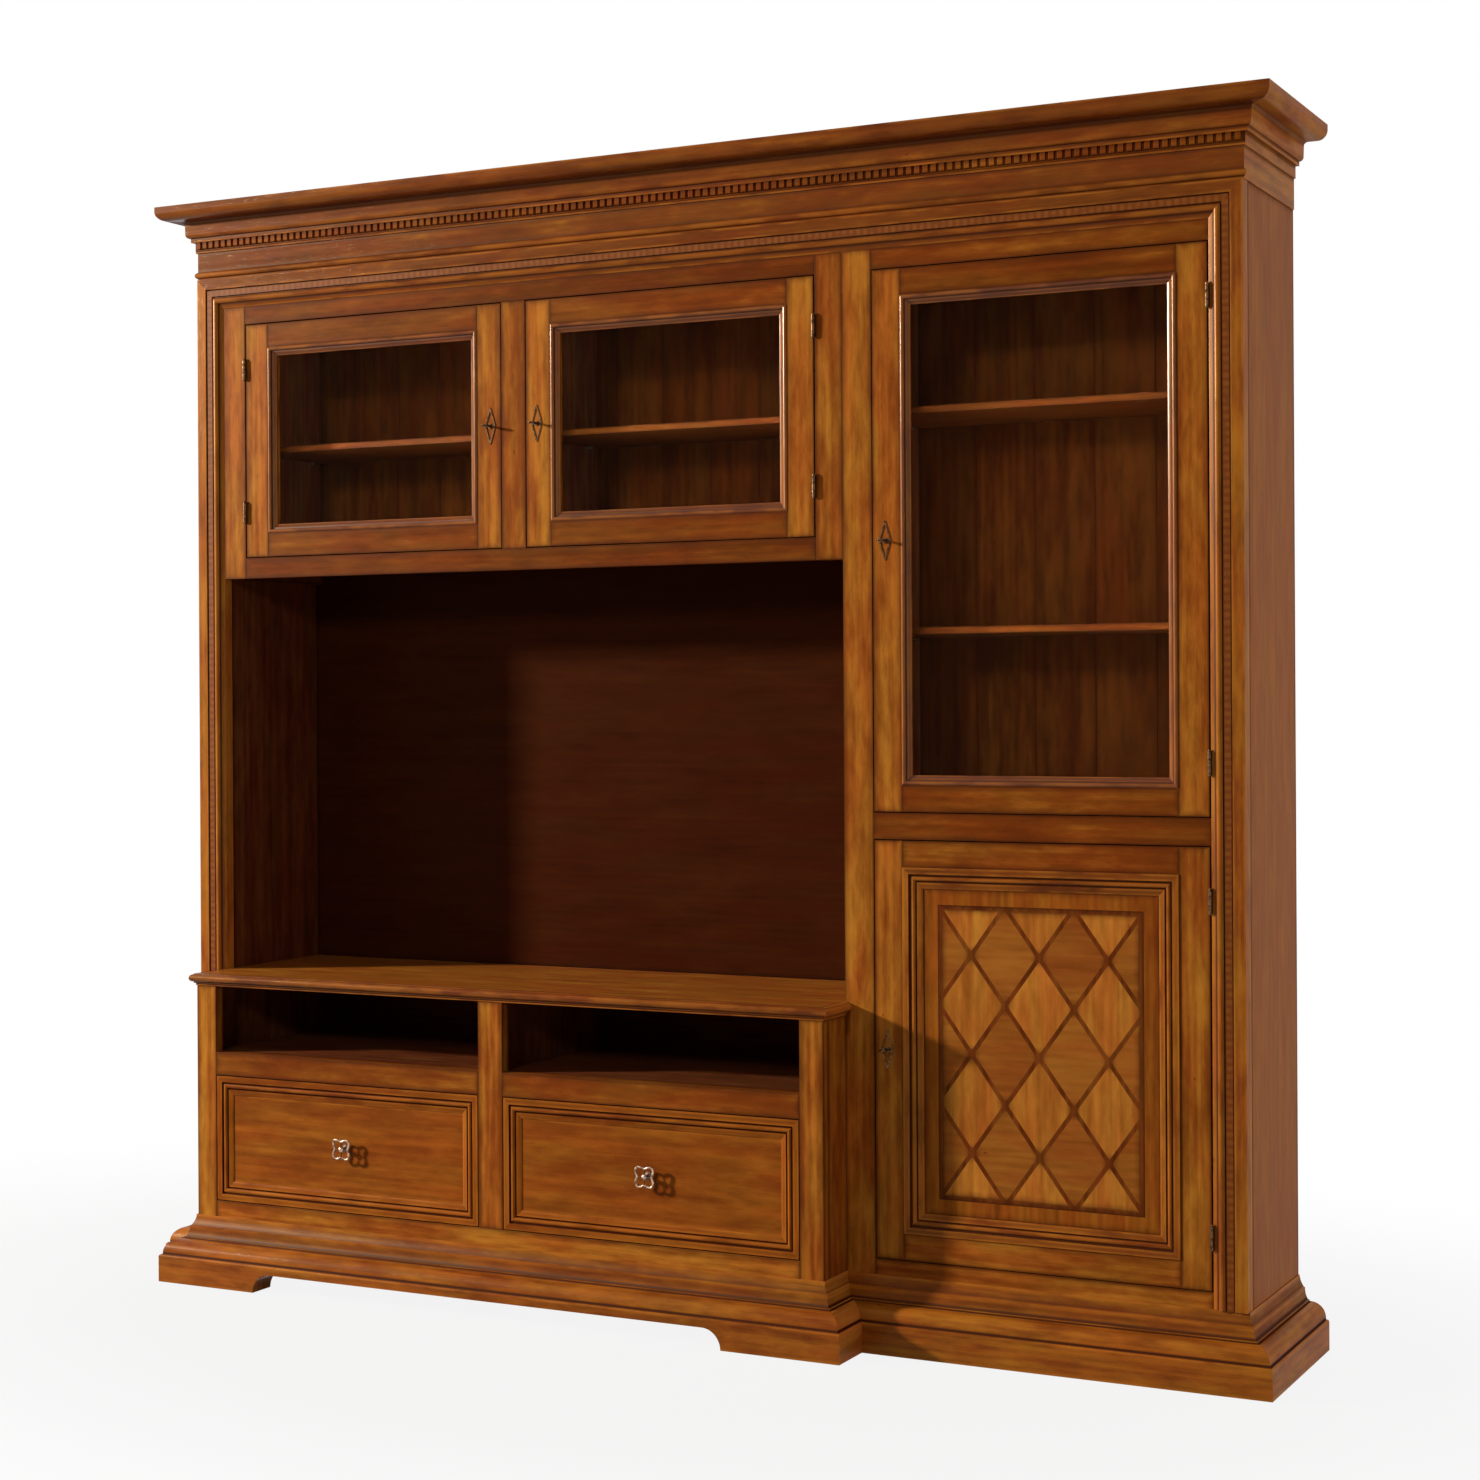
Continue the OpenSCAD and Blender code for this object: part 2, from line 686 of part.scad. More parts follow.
module base_plinth() color(wood) {
    arch = [x_centre + foot_w + arch_h, x_tower - foot_w - arch_h];
    difference() {
        translate([x_centre, y_base, 0]) run(centre_w, plinth_out, 0, 1, 1) plinth_section();
        translate([0, y_base + 1, 0]) rotate([90, 0, 0]) linear_extrude(plinth_out + 2) {
            translate([arch[0], -1]) square([arch[1] - arch[0], arch_h + 1]);
            for (x = arch) translate([x, 0]) circle(arch_h);
        }
    }
    translate([x_tower, y_base, 0]) rotate(90)
        run(base_step, plinth_out, 0, 1, -1) plinth_section();
    translate([x_centre, y_face, 0]) rotate(-90)
        run(base_step, plinth_out, 0, -1, 1) plinth_section();
}

module tower_plinth() color(wood) {
    translate([x_tower, y_face, 0]) run(tower_w, plinth_out, 0, -1, 1) plinth_section();
    translate([x_right, y_face, 0]) rotate(90)
        run(case_depth, plinth_out, 0, 1, 0) plinth_section();
}

module end_plinth() color(wood) {
    translate([x_end, y_face, 0]) run(end_w, plinth_out, 0, 1, -1) plinth_section();
    translate([x_end, y_back, 0]) rotate(-90)
        run(case_depth, plinth_out, 0, 0, 1) plinth_section();
}

module shelves() color(wood) {
    for (s = shelf_bays)
        board([s[0][0] + shelf_clear, s[0][1] - shelf_clear], s[1], [s[2], s[2] + shelf_t]);
}

module shelf_pins() color(silver) {
    for (s = shelf_bays, end = [0, 1], at_y = [s[1][0] + shelf_pin_inset, s[1][1] - shelf_pin_inset])
        translate([s[0][end] + (end ? shelf_bore_l : -shelf_bore_l), at_y,
            s[2] - shelf_pin_r - seat])
            rotate([0, end ? -90 : 90, 0])
                cylinder(h = shelf_bore_l + shelf_pin_l, r = shelf_pin_r);
}

// Hinges

hinge_x = -hinge_gap / 2;
knuckle_h = (hinge_h - 2 * knuckle_gap) / 3;

function hinge_zs(d) = [hinge_inset, d[3] - hinge_inset];

// A leaf against a board at x, with its wrap round the knuckle between z[0] and z[1]
module leaf(x, wraps) {
    block(x, [0.2, leaf_d], [-hinge_h / 2, hinge_h / 2]);
    for (z = wraps) {
        block(x, [-axis_out, 1], z);
        translate([hinge_x, -axis_out, z[0]]) cylinder(h = z[1] - z[0], r = knuckle_r);
    }
}

module door_hinges(d) color(steel) at_door(d) for (z = hinge_zs(d)) translate([0, 0, z])
    difference() {
        leaf([-leaf_t, 0], [[-knuckle_h / 2, knuckle_h / 2]]);
        translate([hinge_x, -axis_out, -hinge_h]) cylinder(h = 2 * hinge_h, r = pin_r + pin_clear);
    }

module frame_hinge(d) at_door(d) for (z = hinge_zs(d)) translate([0, 0, z]) {
    low = knuckle_h / 2 + knuckle_gap;
    leaf([-hinge_gap, leaf_t - hinge_gap], [[-hinge_h / 2, -low], [low, hinge_h / 2]]);
    translate([hinge_x, -axis_out, -hinge_h / 2]) cylinder(h = hinge_h, r = pin_r);
    for (tip = [-1, 1]) translate([hinge_x, -axis_out, tip * (hinge_h / 2 + 1)]) sphere(2.6);
}

module frame_hinges() color(steel) for (d = doors) frame_hinge(d);

// Locks

// The space in the face frame that takes a thrown bolt
module strike_pocket(d)
    block([d[2] + door_clear - 1, d[2] + door_clear + strike_depth],
        [bolt_y - 1, bolt_y + bolt_t + 1], [d[3] / 2 - bolt_h / 2 - 1, d[3] / 2 + bolt_h / 2 + 1]);

module lock_pocket(d) {
    block([d[2] - case_w - seat, d[2] + 1], [case_cover, case_cover + case_t],
        [d[3] / 2 - case_h / 2, d[3] / 2 + case_h / 2]);
    translate([d[2] - key_inset, case_cover + 1, d[3] / 2]) rotate([90, 0, 0])
        cylinder(h = case_cover + 2, r = shank_r + 1);
}

// A pointed oval: a round waist drawn out to two tips
module pointed_oval(waist_r, tip_z, tip_r) hull() {
    circle(waist_r);
    for (s = [-1, 1]) translate([0, s * (tip_z - tip_r)]) circle(tip_r);
}

// Outline of the open lozenge plate: a rim, a boss with the keyhole and a bar that ties them
module plate_outline() {
    rim = 2.6;
    bar_h = 4;
    difference() {
        pointed_oval(plate_w / 2, plate_h / 2, 1);
        difference() {
            pointed_oval(plate_w / 2 - rim, plate_h / 2 - 2.6 * rim, 0.5);
            circle(shank_r + 3);
            square([plate_w, bar_h], center = true);
        }
        circle(shank_r + 0.4);
    }
}

module door_lock(d) color(steel) at_door(d) translate([d[2], 0, d[3] / 2]) {
    translate([-key_inset, 0, 0]) rotate([90, 0, 0]) linear_extrude(plate_t) plate_outline();
    difference() {
        block([-case_w, 0], [case_cover, case_cover + case_t], [-case_h / 2, case_h / 2]);
        block([case_wall - case_w, 1], [bolt_y - bolt_clear, bolt_y + bolt_t + bolt_clear],
            [-bolt_h / 2 - bolt_clear, bolt_h / 2 + bolt_clear]);
        translate([-key_inset, bolt_y, 0]) rotate([90, 0, 0])
            cylinder(h = bolt_y - bit_y, r = bit_l + 1);
        translate([-key_inset, bolt_y, 0]) rotate([90, 0, 0])
            cylinder(h = bolt_y, r = shank_r + shank_clear);
    }
}

module key(d) color(steel) at_door(d) translate([d[2] - key_inset, 0, d[3] / 2]) {
    collar_out = 4;
    rotate([90, 0, 0]) {
        translate([0, 0, bolt_clear + 0.2 - bolt_y])
            cylinder(h = bolt_y - bow_y - bow_r, r = shank_r);
        translate([0, 0, plate_t + 0.3]) cylinder(h = collar_out - plate_t, r = shank_r + 1.3);
    }
    block([-1.2, 1.2], [bit_y + 0.3, bolt_y - bolt_clear - 0.3], [-bit_l, 0]);
    translate([0, bow_y, 0]) rotate_extrude() translate([bow_r, 0]) circle(bow_wire_r, $fn = 24);
}

module bolt(d) color(silver) at_door(d)
    block([d[2] - 1 - bolt_l, d[2] - 1], [bolt_y, bolt_y + bolt_t],
        [d[3] / 2 - bolt_h / 2, d[3] / 2 + bolt_h / 2]);

// Doors

module door_frame(d) color(wood) at_door(d) {
    w = d[2];
    h = d[3];
    board([0, door_stile_w], [0, frame_t], [0, h]);
    difference() {
        board([w - door_stile_w, w], [0, frame_t], [0, h]);
        lock_pocket(d);
    }
    for (z = [[0, door_rail_h], [h - door_rail_h, h]])
        board([door_stile_w, w - door_stile_w], [0, frame_t], z);
}

module glass_moulding(d) color(wood) at_door(d) translate([door_stile_w, 0, door_rail_h]) {
    w = d[2] - 2 * door_stile_w;
    h = d[3] - 2 * door_rail_h;
    bead_y = glass_y + glass_t + 2 * glass_clear;
    picture_frame(w, h, glass_mould_w) glass_mould_section();
    picture_frame(w, h, glass_mould_w - 4)
        translate([-frame_t, 0]) square([frame_t - bead_y, glass_mould_w - 4]);
}

module glass_pane(d) color(silver, 0.35) at_door(d)
    block([door_stile_w + 1, d[2] - door_stile_w - 1],
        [glass_y + glass_clear, glass_y + glass_clear + glass_t],
        [door_rail_h + 1, d[3] - door_rail_h - 1]);

module upper_left_door_frame() door_frame(upper_left);
module upper_left_door_moulding() glass_moulding(upper_left);
module upper_left_door_glass() glass_pane(upper_left);
module upper_left_door_hinges() door_hinges(upper_left);
module upper_left_door_lock() door_lock(upper_left);
module upper_left_key() key(upper_left);
module upper_left_bolt() bolt(upper_left);

module upper_right_door_frame() door_frame(upper_right);
module upper_right_door_moulding() glass_moulding(upper_right);
module upper_right_door_glass() glass_pane(upper_right);
module upper_right_door_hinges() door_hinges(upper_right);
module upper_right_door_lock() door_lock(upper_right);
module upper_right_key() key(upper_right);
module upper_right_bolt() bolt(upper_right);

module glass_door_frame() door_frame(glass_door);
module glass_door_moulding() glass_moulding(glass_door);
module glass_door_glass() glass_pane(glass_door);
module glass_door_hinges() door_hinges(glass_door);
module glass_door_lock() door_lock(glass_door);
module glass_door_key() key(glass_door);
module glass_door_bolt() bolt(glass_door);

module panel_door_frame() door_frame(panel_door);

module panel_door_moulding() color(wood) at_door(panel_door)
    translate([door_stile_w, 0, door_rail_h])
        picture_frame(panel_door[2] - 2 * door_stile_w, panel_door[3] - 2 * door_rail_h,
            panel_mould_w) panel_mould_section(panel_drop + panel_t + 3, 2);

module panel_door_panel() color(wood) at_door(panel_door) difference() {
    board([panel_in.x, panel_door[2] - panel_in.x], [panel_drop, panel_drop + panel_t],
        [panel_in.y, panel_door[3] - panel_in.y]);
    block([field_at.x, panel_door[2] - field_at.x], [panel_drop - 1, panel_drop + inlay_t],
        [field_at.y, panel_door[3] - field_at.y]);
}

// Places the inlay, drawn in the field's own 2-D frame, in the panel
module in_field() at_door(panel_door)
    translate([field_at.x, panel_drop + inlay_t, field_at.y]) rotate([90, 0, 0])
        linear_extrude(inlay_t) children();

// One lozenge shrunk by half a line on each side, round the middle of cell i, j
module lozenge(i, j) {
    flank = norm(cell) / 2;
    keep = 1 - line_w / 2 * flank / (cell.x * cell.y / 4);
    translate([i * cell.x / 2, j * cell.y / 2])
        polygon([[-cell.x / 2 * keep, 0], [0, -cell.y / 2 * keep],
            [cell.x / 2 * keep, 0], [0, cell.y / 2 * keep]]);
}

module field_border(inset) translate([inset, inset]) square(field - 2 * [inset, inset]);

module all_lozenges() intersection() {
    for (i = [0 : 2 * lozenges], j = [0 : 2 * lozenges])
        if ((i + j) % 2 == 1) lozenge(i, j);
    field_border(line_w);
}

module panel_door_lattice() color(dark_wood) in_field() difference() {
    field_border(0);
    all_lozenges();
}

module panel_door_lozenges() color(light_wood) in_field() all_lozenges();

module panel_door_hinges() door_hinges(panel_door);
module panel_door_lock() door_lock(panel_door);
module panel_door_key() key(panel_door);
module panel_door_bolt() bolt(panel_door);

// Drawers

module drawer_front(x) color(wood) translate([x, y_base, z_drawer + drawer_clear]) {
    m = panel_mould_w;
    picture_frame(drawer_w, drawer_h, m) panel_mould_section(drawer_front_t, 0);
    board([m, drawer_w - m], [panel_drop, drawer_front_t], [m, drawer_h - m]);
}

module drawer_box(x) color(light_wood) {
    side = drawer_side_t;
    z = z_drawer + runner_h + runner_clear;
    y = y_base + drawer_front_t;
    for (at_x = [x, x + drawer_w - side])
        board([at_x, at_x + side], [y, y + drawer_box_l], [z, z + drawer_box_h]);
    inner = [x + side, x + drawer_w - side];
    board(inner, [y, y + side], [z, z + drawer_box_h]);
    board(inner, [y + drawer_box_l - side, y + drawer_box_l], [z, z + drawer_box_h]);
    board(inner, [y + side, y + drawer_box_l - side], [z + 6, z + 6 + drawer_bottom_t]);
}

// Four round lobes that touch the knob's width, each less wide by inset all round
module lobes(inset) {
    lobe_r = 0.3 * knob_w;
    lobe_at = knob_w / 2 - lobe_r;
    for (sx = [-1, 1], sy = [-1, 1]) translate([sx * lobe_at, sy * lobe_at]) circle(lobe_r - inset);
}

module flower() {
    wire = 4.6;
    web = 2.6;
    boss_r = 5.5;
    difference() {
        lobes(0);
        lobes(wire);
    }
    for (turn = [0, 90]) rotate(turn) square([0.7 * knob_w, web], center = true);
    circle(boss_r);
}

module drawer_knob(x) color(silver)
    translate([x + drawer_w / 2, y_base + panel_drop, z_drawer + drawer_open_h / 2])
    rotate([90, 0, 0]) {
        cylinder(h = 3, r = 8);
        cylinder(h = knob_out - 1, r = 3.5);
        translate([0, 0, knob_out - knob_t - 2]) linear_extrude(knob_t) flower();
        cylinder(h = knob_out, r = 3);
    }

module drawer_runners() color(light_wood) {
    reach = 4 + drawer_side_t;
    inner = [x_centre + side_t, x_mid - side_t / 2, x_mid + side_t / 2, x_tower - side_t];
    tips = [drawer_xs[0] + reach, drawer_xs[0] + drawer_w - reach,
        drawer_xs[1] + reach, drawer_xs[1] + drawer_w - reach];
    for (i = [0 : 3])
        board([min(inner[i], tips[i]), max(inner[i], tips[i])],
            [y_base_in, y_panel], [z_drawer, z_drawer + runner_h]);
}

module left_drawer_front() drawer_front(drawer_xs[0]);
module left_drawer_box() drawer_box(drawer_xs[0]);
module left_drawer_knob() drawer_knob(drawer_xs[0]);
module right_drawer_front() drawer_front(drawer_xs[1]);
module right_drawer_box() drawer_box(drawer_xs[1]);
module right_drawer_knob() drawer_knob(drawer_xs[1]);

left_end();
tower_carcass();
tower_frame();
upper_carcass();
upper_frame();
base_carcass();
base_frame();
back_panels();
back_boards();
desk_top();
desk_nosing();
surround();
surround_inlay();
cornice();
dentils();
cornice_board();
base_plinth();
tower_plinth();
end_plinth();
shelves();
shelf_pins();
frame_hinges();
drawer_runners();
upper_left_door_frame();
upper_left_door_moulding();
upper_left_door_glass();
upper_left_door_hinges();
upper_left_door_lock();
upper_left_key();
upper_left_bolt();
upper_right_door_frame();
upper_right_door_moulding();
upper_right_door_glass();
upper_right_door_hinges();
upper_right_door_lock();
upper_right_key();
upper_right_bolt();
glass_door_frame();
glass_door_moulding();
glass_door_glass();
glass_door_hinges();
glass_door_lock();
glass_door_key();
glass_door_bolt();
panel_door_frame();
panel_door_moulding();
panel_door_panel();
panel_door_lattice();
panel_door_lozenges();
panel_door_hinges();
panel_door_lock();
panel_door_key();
panel_door_bolt();
left_drawer_front();
left_drawer_box();
left_drawer_knob();
right_drawer_front();
right_drawer_box();
right_drawer_knob();
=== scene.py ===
# %% [markdown]
# # A wall unit in stained cherry
# The unit is one long piece of joinery: a media base with two drawers and two open bays,
# a niche over it, two glazed wall cupboards, and a tower with a glazed door above an
# inlaid one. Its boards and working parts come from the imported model. This lesson gives
# them their looks. Flat boards keep their shape and get softened edges and grain, and
# everything that a maker would run through a moulding machine is swept again here, finer
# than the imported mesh, because light on a moulding shows every facet.

import json
import zlib

import bmesh
import bpy
import numpy as np
from mathutils import Matrix, Vector


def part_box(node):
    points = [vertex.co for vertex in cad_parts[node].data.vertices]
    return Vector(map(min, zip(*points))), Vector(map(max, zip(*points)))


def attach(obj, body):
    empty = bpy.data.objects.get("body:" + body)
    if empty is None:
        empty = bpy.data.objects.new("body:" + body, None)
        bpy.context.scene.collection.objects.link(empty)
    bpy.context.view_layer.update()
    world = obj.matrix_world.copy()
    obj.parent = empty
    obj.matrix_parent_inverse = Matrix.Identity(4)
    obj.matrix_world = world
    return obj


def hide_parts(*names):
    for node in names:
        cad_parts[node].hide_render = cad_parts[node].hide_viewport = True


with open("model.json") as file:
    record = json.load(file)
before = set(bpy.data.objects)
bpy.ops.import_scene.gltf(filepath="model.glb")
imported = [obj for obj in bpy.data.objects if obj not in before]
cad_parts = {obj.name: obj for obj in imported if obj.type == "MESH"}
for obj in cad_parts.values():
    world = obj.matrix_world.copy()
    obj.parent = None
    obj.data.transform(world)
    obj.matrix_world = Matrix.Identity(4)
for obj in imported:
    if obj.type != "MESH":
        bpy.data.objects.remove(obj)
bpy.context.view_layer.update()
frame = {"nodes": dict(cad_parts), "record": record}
MM = 0.001
bodies = frame["record"]["behaviour"]["bodies"]
body_of_node = {node: body for body, nodes in bodies.items() for node in nodes}
slot_of_node = {part["node"]: part["material_slot"] for part in frame["record"]["subparts"]}


def in_scene(name, data):
    """A new object at the origin, linked to the scene."""
    thing = bpy.data.objects.new(name, data)
    bpy.context.scene.collection.objects.link(thing)
    return thing


# %% [markdown]
# ## The camera
# The photograph was taken from the right, at about chest height, with a long lens. The
# place and the turn came from matching some fifty corners of the unit to their pixels.
# A camera could be aimed with a Track To constraint, but a measured yaw, pitch and roll
# are kept as three turns, because the roll of a hand-held shot matters too.

# %% The camera
eye = Vector((2.3289, -4.1922, 1.175))
yaw, pitch, roll = np.radians([25.885, -0.086, -0.31])
photo_width = 1480
focal_in_pixels = 2497.4
off_centre = (89.1, 37.6)
camera = bpy.data.cameras.new("photo_camera")
camera.sensor_width = 36.0
camera.lens = focal_in_pixels / photo_width * camera.sensor_width
camera.shift_x, camera.shift_y = -off_centre[0] / photo_width, -off_centre[1] / photo_width
camera_stand = in_scene("photo_camera", camera)
turn = Matrix.Rotation(yaw, 4, "Z") @ Matrix.Rotation(np.pi / 2 + pitch, 4, "X")
turn = turn @ Matrix.Rotation(roll, 4, "Z")
camera_stand.matrix_world = Matrix.Translation(eye) @ turn
bpy.context.scene.camera = camera_stand
print("lens:", round(camera.lens, 1), "mm")


# %% [markdown]
# ## Writing a finish as sums
# A material is a graph of nodes. Drawn by hand, a sum of three terms takes three boxes
# and six wires. Here one small class stands for a node's output and gives it the signs
# of arithmetic, so that a mask reads as `1 - streaks * 0.4`. Every other node comes from
# one method that takes its type, its settings and what goes into its sockets.

# %% A socket that can be used in sums
class Flow:
    """A number, colour or vector that runs out of a node."""

    def __init__(self, finish, socket):
        self.finish, self.socket = finish, socket

    def sums(self, operation, first, second):
        return self.finish.node("ShaderNodeMath", {"operation": operation}, {0: first, 1: second})

    def __add__(self, other):
        return self.sums("ADD", self, other)

    def __sub__(self, other):
        return self.sums("SUBTRACT", self, other)

    def __rsub__(self, other):
        return self.sums("SUBTRACT", other, self)

    def __mul__(self, other):
        return self.sums("MULTIPLY", self, other)

    def __truediv__(self, other):
        return self.sums("DIVIDE", self, other)

    __radd__, __rmul__ = __add__, __mul__

    def least(self, other):
        return self.sums("MINIMUM", self, other)

    def most(self, other):
        return self.sums("MAXIMUM", self, other)

    def between(self, low, high):
        """0 where the value is at low, 1 where it is at high, and an even S-curve between them."""
        settings = {"interpolation_type": "SMOOTHSTEP"}
        sockets = {"Value": self, "From Min": low, "From Max": high}
        return self.finish.node("ShaderNodeMapRange", settings, sockets)

    def stretched(self, x, y, z):
        """The same place with each axis multiplied by its own number."""
        settings = {"operation": "MULTIPLY"}
        return self.finish.node("ShaderNodeVectorMath", settings, {0: self, 1: (x, y, z)})

    def part(self, name):
        """Another output of the same node."""
        return Flow(self.finish, found(self.socket.node.outputs, name))


def found(sockets, key):
    """A socket by its number, its identifier or its name."""
    if isinstance(key, int):
        return sockets[key]
    return next(s for s in sockets if key in (s.identifier, s.name))


# %% A finish, and the one method that adds a node
class Finish:
    """A material whose nodes are added one by one, and end in a shader."""

    def __init__(self, name, owner=None):
        self.material = owner or bpy.data.materials.new(name)
        self.material.use_nodes = True
        self.tree = self.material.node_tree
        self.tree.nodes.clear()

    def node(self, kind, settings=None, sockets=None, output=0):
        made = self.tree.nodes.new(kind)
        for key, value in (settings or {}).items():
            setattr(made, key, value)
        for key, value in (sockets or {}).items():
            inlet = found(made.inputs, key)
            if isinstance(value, Flow):
                self.tree.links.new(value.socket, inlet)
            else:
                inlet.default_value = value
        return None if output is None else Flow(self, found(made.outputs, output))

    def attribute(self, name, output="Fac"):
        return self.node("ShaderNodeAttribute", {"attribute_name": name}, output=output)

    def place(self):
        return self.node("ShaderNodeTexCoord", output="Object")

    def noise(self, vector, scale=1.0, detail=2.0, roughness=0.5, distortion=0.0):
        sockets = {"Vector": vector, "Scale": scale, "Detail": detail, "Roughness": roughness}
        return self.node("ShaderNodeTexNoise", {}, sockets | {"Distortion": distortion})

    def mix(self, first, second, amount, blend="MIX"):
        settings = {"data_type": "RGBA", "blend_type": blend}
        sockets = {"Factor_Float": amount, "A_Color": first, "B_Color": second}
        return self.node("ShaderNodeMix", settings, sockets, "Result_Color")

    def end(self, shader, kind="ShaderNodeOutputMaterial"):
        self.node(kind, {}, {"Surface": shader}, None)
        return self.material


def paint(red, green, blue):
    """A colour as read off a screen, from 0 to 255, in the linear light that shaders use."""
    c = np.array([red, green, blue]) / 255
    linear = np.where(c <= 0.04045, c / 12.92, ((c + 0.055) / 1.055) ** 2.4)
    return (*linear.tolist(), 1.0)


print("honey in linear light:", [round(v, 3) for v in paint(190, 114, 40)])


# %% [markdown]
# ## The wood
# The real unit is cherry, stained honey brown and wiped with a dark glaze that stays in the grooves,
# then lacquered to a satin sheen. Grain could be an image texture, but a worked-out one has no seams
# and no tile. Each board carries its own place and direction in an attribute called grain, whose
# first axis runs along the board. Laid over each other in it are clouds, mottle, long streaks,
# fibres and growth rings, then short dark pores, and the flecks that make new furniture look used. A
# slow noise turns the colour from red brown to ochre and back. Two more attributes say where a
# groove is painted dark, partly for the glaze and partly as painted shade, and where an edge is
# painted paler, partly for wear and partly as a painted highlight. The lacquer mirrors little: the
# photograph shows a sheen on the glass beads and the desk, less on the mouldings, and hardly any
# elsewhere.

# %% How far a point is from the edge of its board
def rim(f):
    """Distance to the nearest edge of the board's face, in millimetres. The attribute spot is
    the place in the board, and half is its half size. On a face one of the three distances
    half - |spot| is nought, so the distance to the nearest edge is the middle one of the three."""
    spot, half = f.attribute("spot", "Vector"), f.attribute("half", "Vector")
    away = f.node("ShaderNodeVectorMath", {"operation": "ABSOLUTE"}, {0: spot})
    room = f.node("ShaderNodeVectorMath", {"operation": "SUBTRACT"}, {0: half, 1: away})
    a = f.node("ShaderNodeSeparateXYZ", {}, {"Vector": room}, "X")
    b, c = a.part("Y"), a.part("Z")
    return a.least(b).most(a.most(b).least(c)) * 1000


# %% A wood finish
# The brown of the glaze, which is also the colour of the painted shade in grooves.
glaze_and_shade_brown = (66, 26, 8)


def wood(name, light, dark, groove=glaze_and_shade_brown, contrast=1.0, worn_and_highlit=0.0, gloss=0.36, shine=0.06):
    """Stained wood. light and dark are the two ends of the grain and groove is the colour of the
    glaze and of the painted shade in grooves, all three as read off a screen. A worn value pales
    every edge, as wear and a painted highlight. A high shine is the coat of a polished piece."""
    light, dark, groove = paint(*light), paint(*dark), paint(*groove)
    f = Finish(name)
    grain = f.attribute("grain", "Vector")
    clouds = f.noise(grain.stretched(6.5, 28, 28), detail=2.0)
    mottle = f.noise(grain.stretched(20, 75, 75), detail=3.0, roughness=0.6)
    streaks = f.noise(grain.stretched(2.2, 95, 95), detail=3.0, roughness=0.6, distortion=0.25)
    fibres = f.noise(grain.stretched(11, 620, 620), detail=2.0)
    rings = f.node(
        "ShaderNodeTexWave",
        {"wave_type": "RINGS", "rings_direction": "X"},
        {
            "Vector": grain.stretched(0.16, 1, 1),
            "Scale": 21.0,
            "Distortion": 4.0,
            "Detail": 2.0,
            "Detail Scale": 1.4,
        },
        "Fac",
    )
    broad = (clouds - 0.5) * 1.3 + (mottle - 0.5) * 1.1
    figure = broad + (streaks - 0.5) * 0.8 + (fibres - 0.5) * 0.3 + (rings - 0.5) * 0.2
    # The tone is random per board, plus painted shade on level boards.
    amount = figure * contrast + 0.5 + f.attribute("tone_and_painted_shade") * 0.3
    colour = f.mix(dark, light, amount.between(-0.1, 1.1))
    colour = f.mix(colour, groove, (0.15 - amount).between(0.0, 1.0) * 0.6)
    hue = f.noise(grain.stretched(5, 24, 24), detail=3.0)
    tint = f.mix((0.97, 0.86, 0.84, 1), (1.06, 1.28, 1.12, 1), hue.between(0.34, 0.68))
    colour = f.mix(colour, tint, min(contrast, 1), "MULTIPLY")
    pores = f.noise(grain.stretched(30, 1300, 1300), detail=1.0).between(0.64, 0.78)
    colour = f.mix(colour, groove, pores * 0.22)
    sockets = {"Vector": grain.stretched(0.5, 1, 1), "Scale": 21.0}
    cells = f.node("ShaderNodeTexVoronoi", {}, sockets, "Distance")
    chance = f.node("ShaderNodeSeparateColor", {}, {"Color": cells.part("Color")}, "Red")
    flecks = (1 - cells.between(0.02, 0.06)) * chance.between(0.7, 0.72)
    colour = f.mix(colour, groove, flecks * 0.6)
    patchy = f.noise(grain.stretched(12, 48, 48), detail=3.0)
    # Paler edges, partly wear and partly a painted highlight.
    rubbed_and_highlit = (f.attribute("wear_and_highlight") + worn_and_highlit) * patchy.between(0.36, 0.6)
    pale_wear_and_highlight = tuple(np.multiply(light[:3], (1.2, 1.3, 1.4)).clip(0, 1).tolist()) + (1.0,)
    colour = f.mix(colour, pale_wear_and_highlight, rubbed_and_highlit * 0.55)
    brink = rim(f)
    line, halo = 1 - brink.between(0.6, 4.5), 1 - (brink + patchy * 12.0).between(4.0, 20.0)
    edge = line * 0.25 + halo * 0.5
    # Painted darker in grooves, partly for the glaze and partly as painted shade, and with glaze
    # along each board's edges.
    glaze_and_shade_held = (f.attribute("glaze_and_painted_shade") * patchy.between(-0.3, 0.4)).most(edge)
    colour = f.mix(colour, groove, glaze_and_shade_held)
    height = streaks * 0.4 + fibres * 0.35 - pores * 0.5 - flecks * 2.0
    sockets = {"Height": height, "Strength": 0.25, "Distance": 0.4 * MM}
    relief = f.node("ShaderNodeBump", {}, sockets)
    roughness = (streaks - 0.5) * 0.14 + glaze_and_shade_held * 0.2 + gloss
    sockets = {"Base Color": colour, "Roughness": roughness, "Normal": relief}
    coat = (1.0, 0.8, 0.62, 1.0) if shine > 0.2 else (1.0, 0.64, 0.3, 1.0)
    lacquer = {"Specular IOR Level": shine, "Specular Tint": coat}
    return f.end(f.node("ShaderNodeBsdfPrincipled", {}, sockets | lacquer))


# %% [markdown]
# One method makes all the woods of the unit. Fronts, mouldings, beads, panels, insides, the back and
# the drawer boxes differ in colour and sheen. The two ends have their own finishes, because one
# stands next to the lamp and the other has its back to it: the left end is painted darker, as
# painted shade, and the right end lighter, as painted light.

# %% The woods
honey, chestnut = (190, 114, 40), (131, 65, 19)
cherry = wood("cherry_front", honey, chestnut)
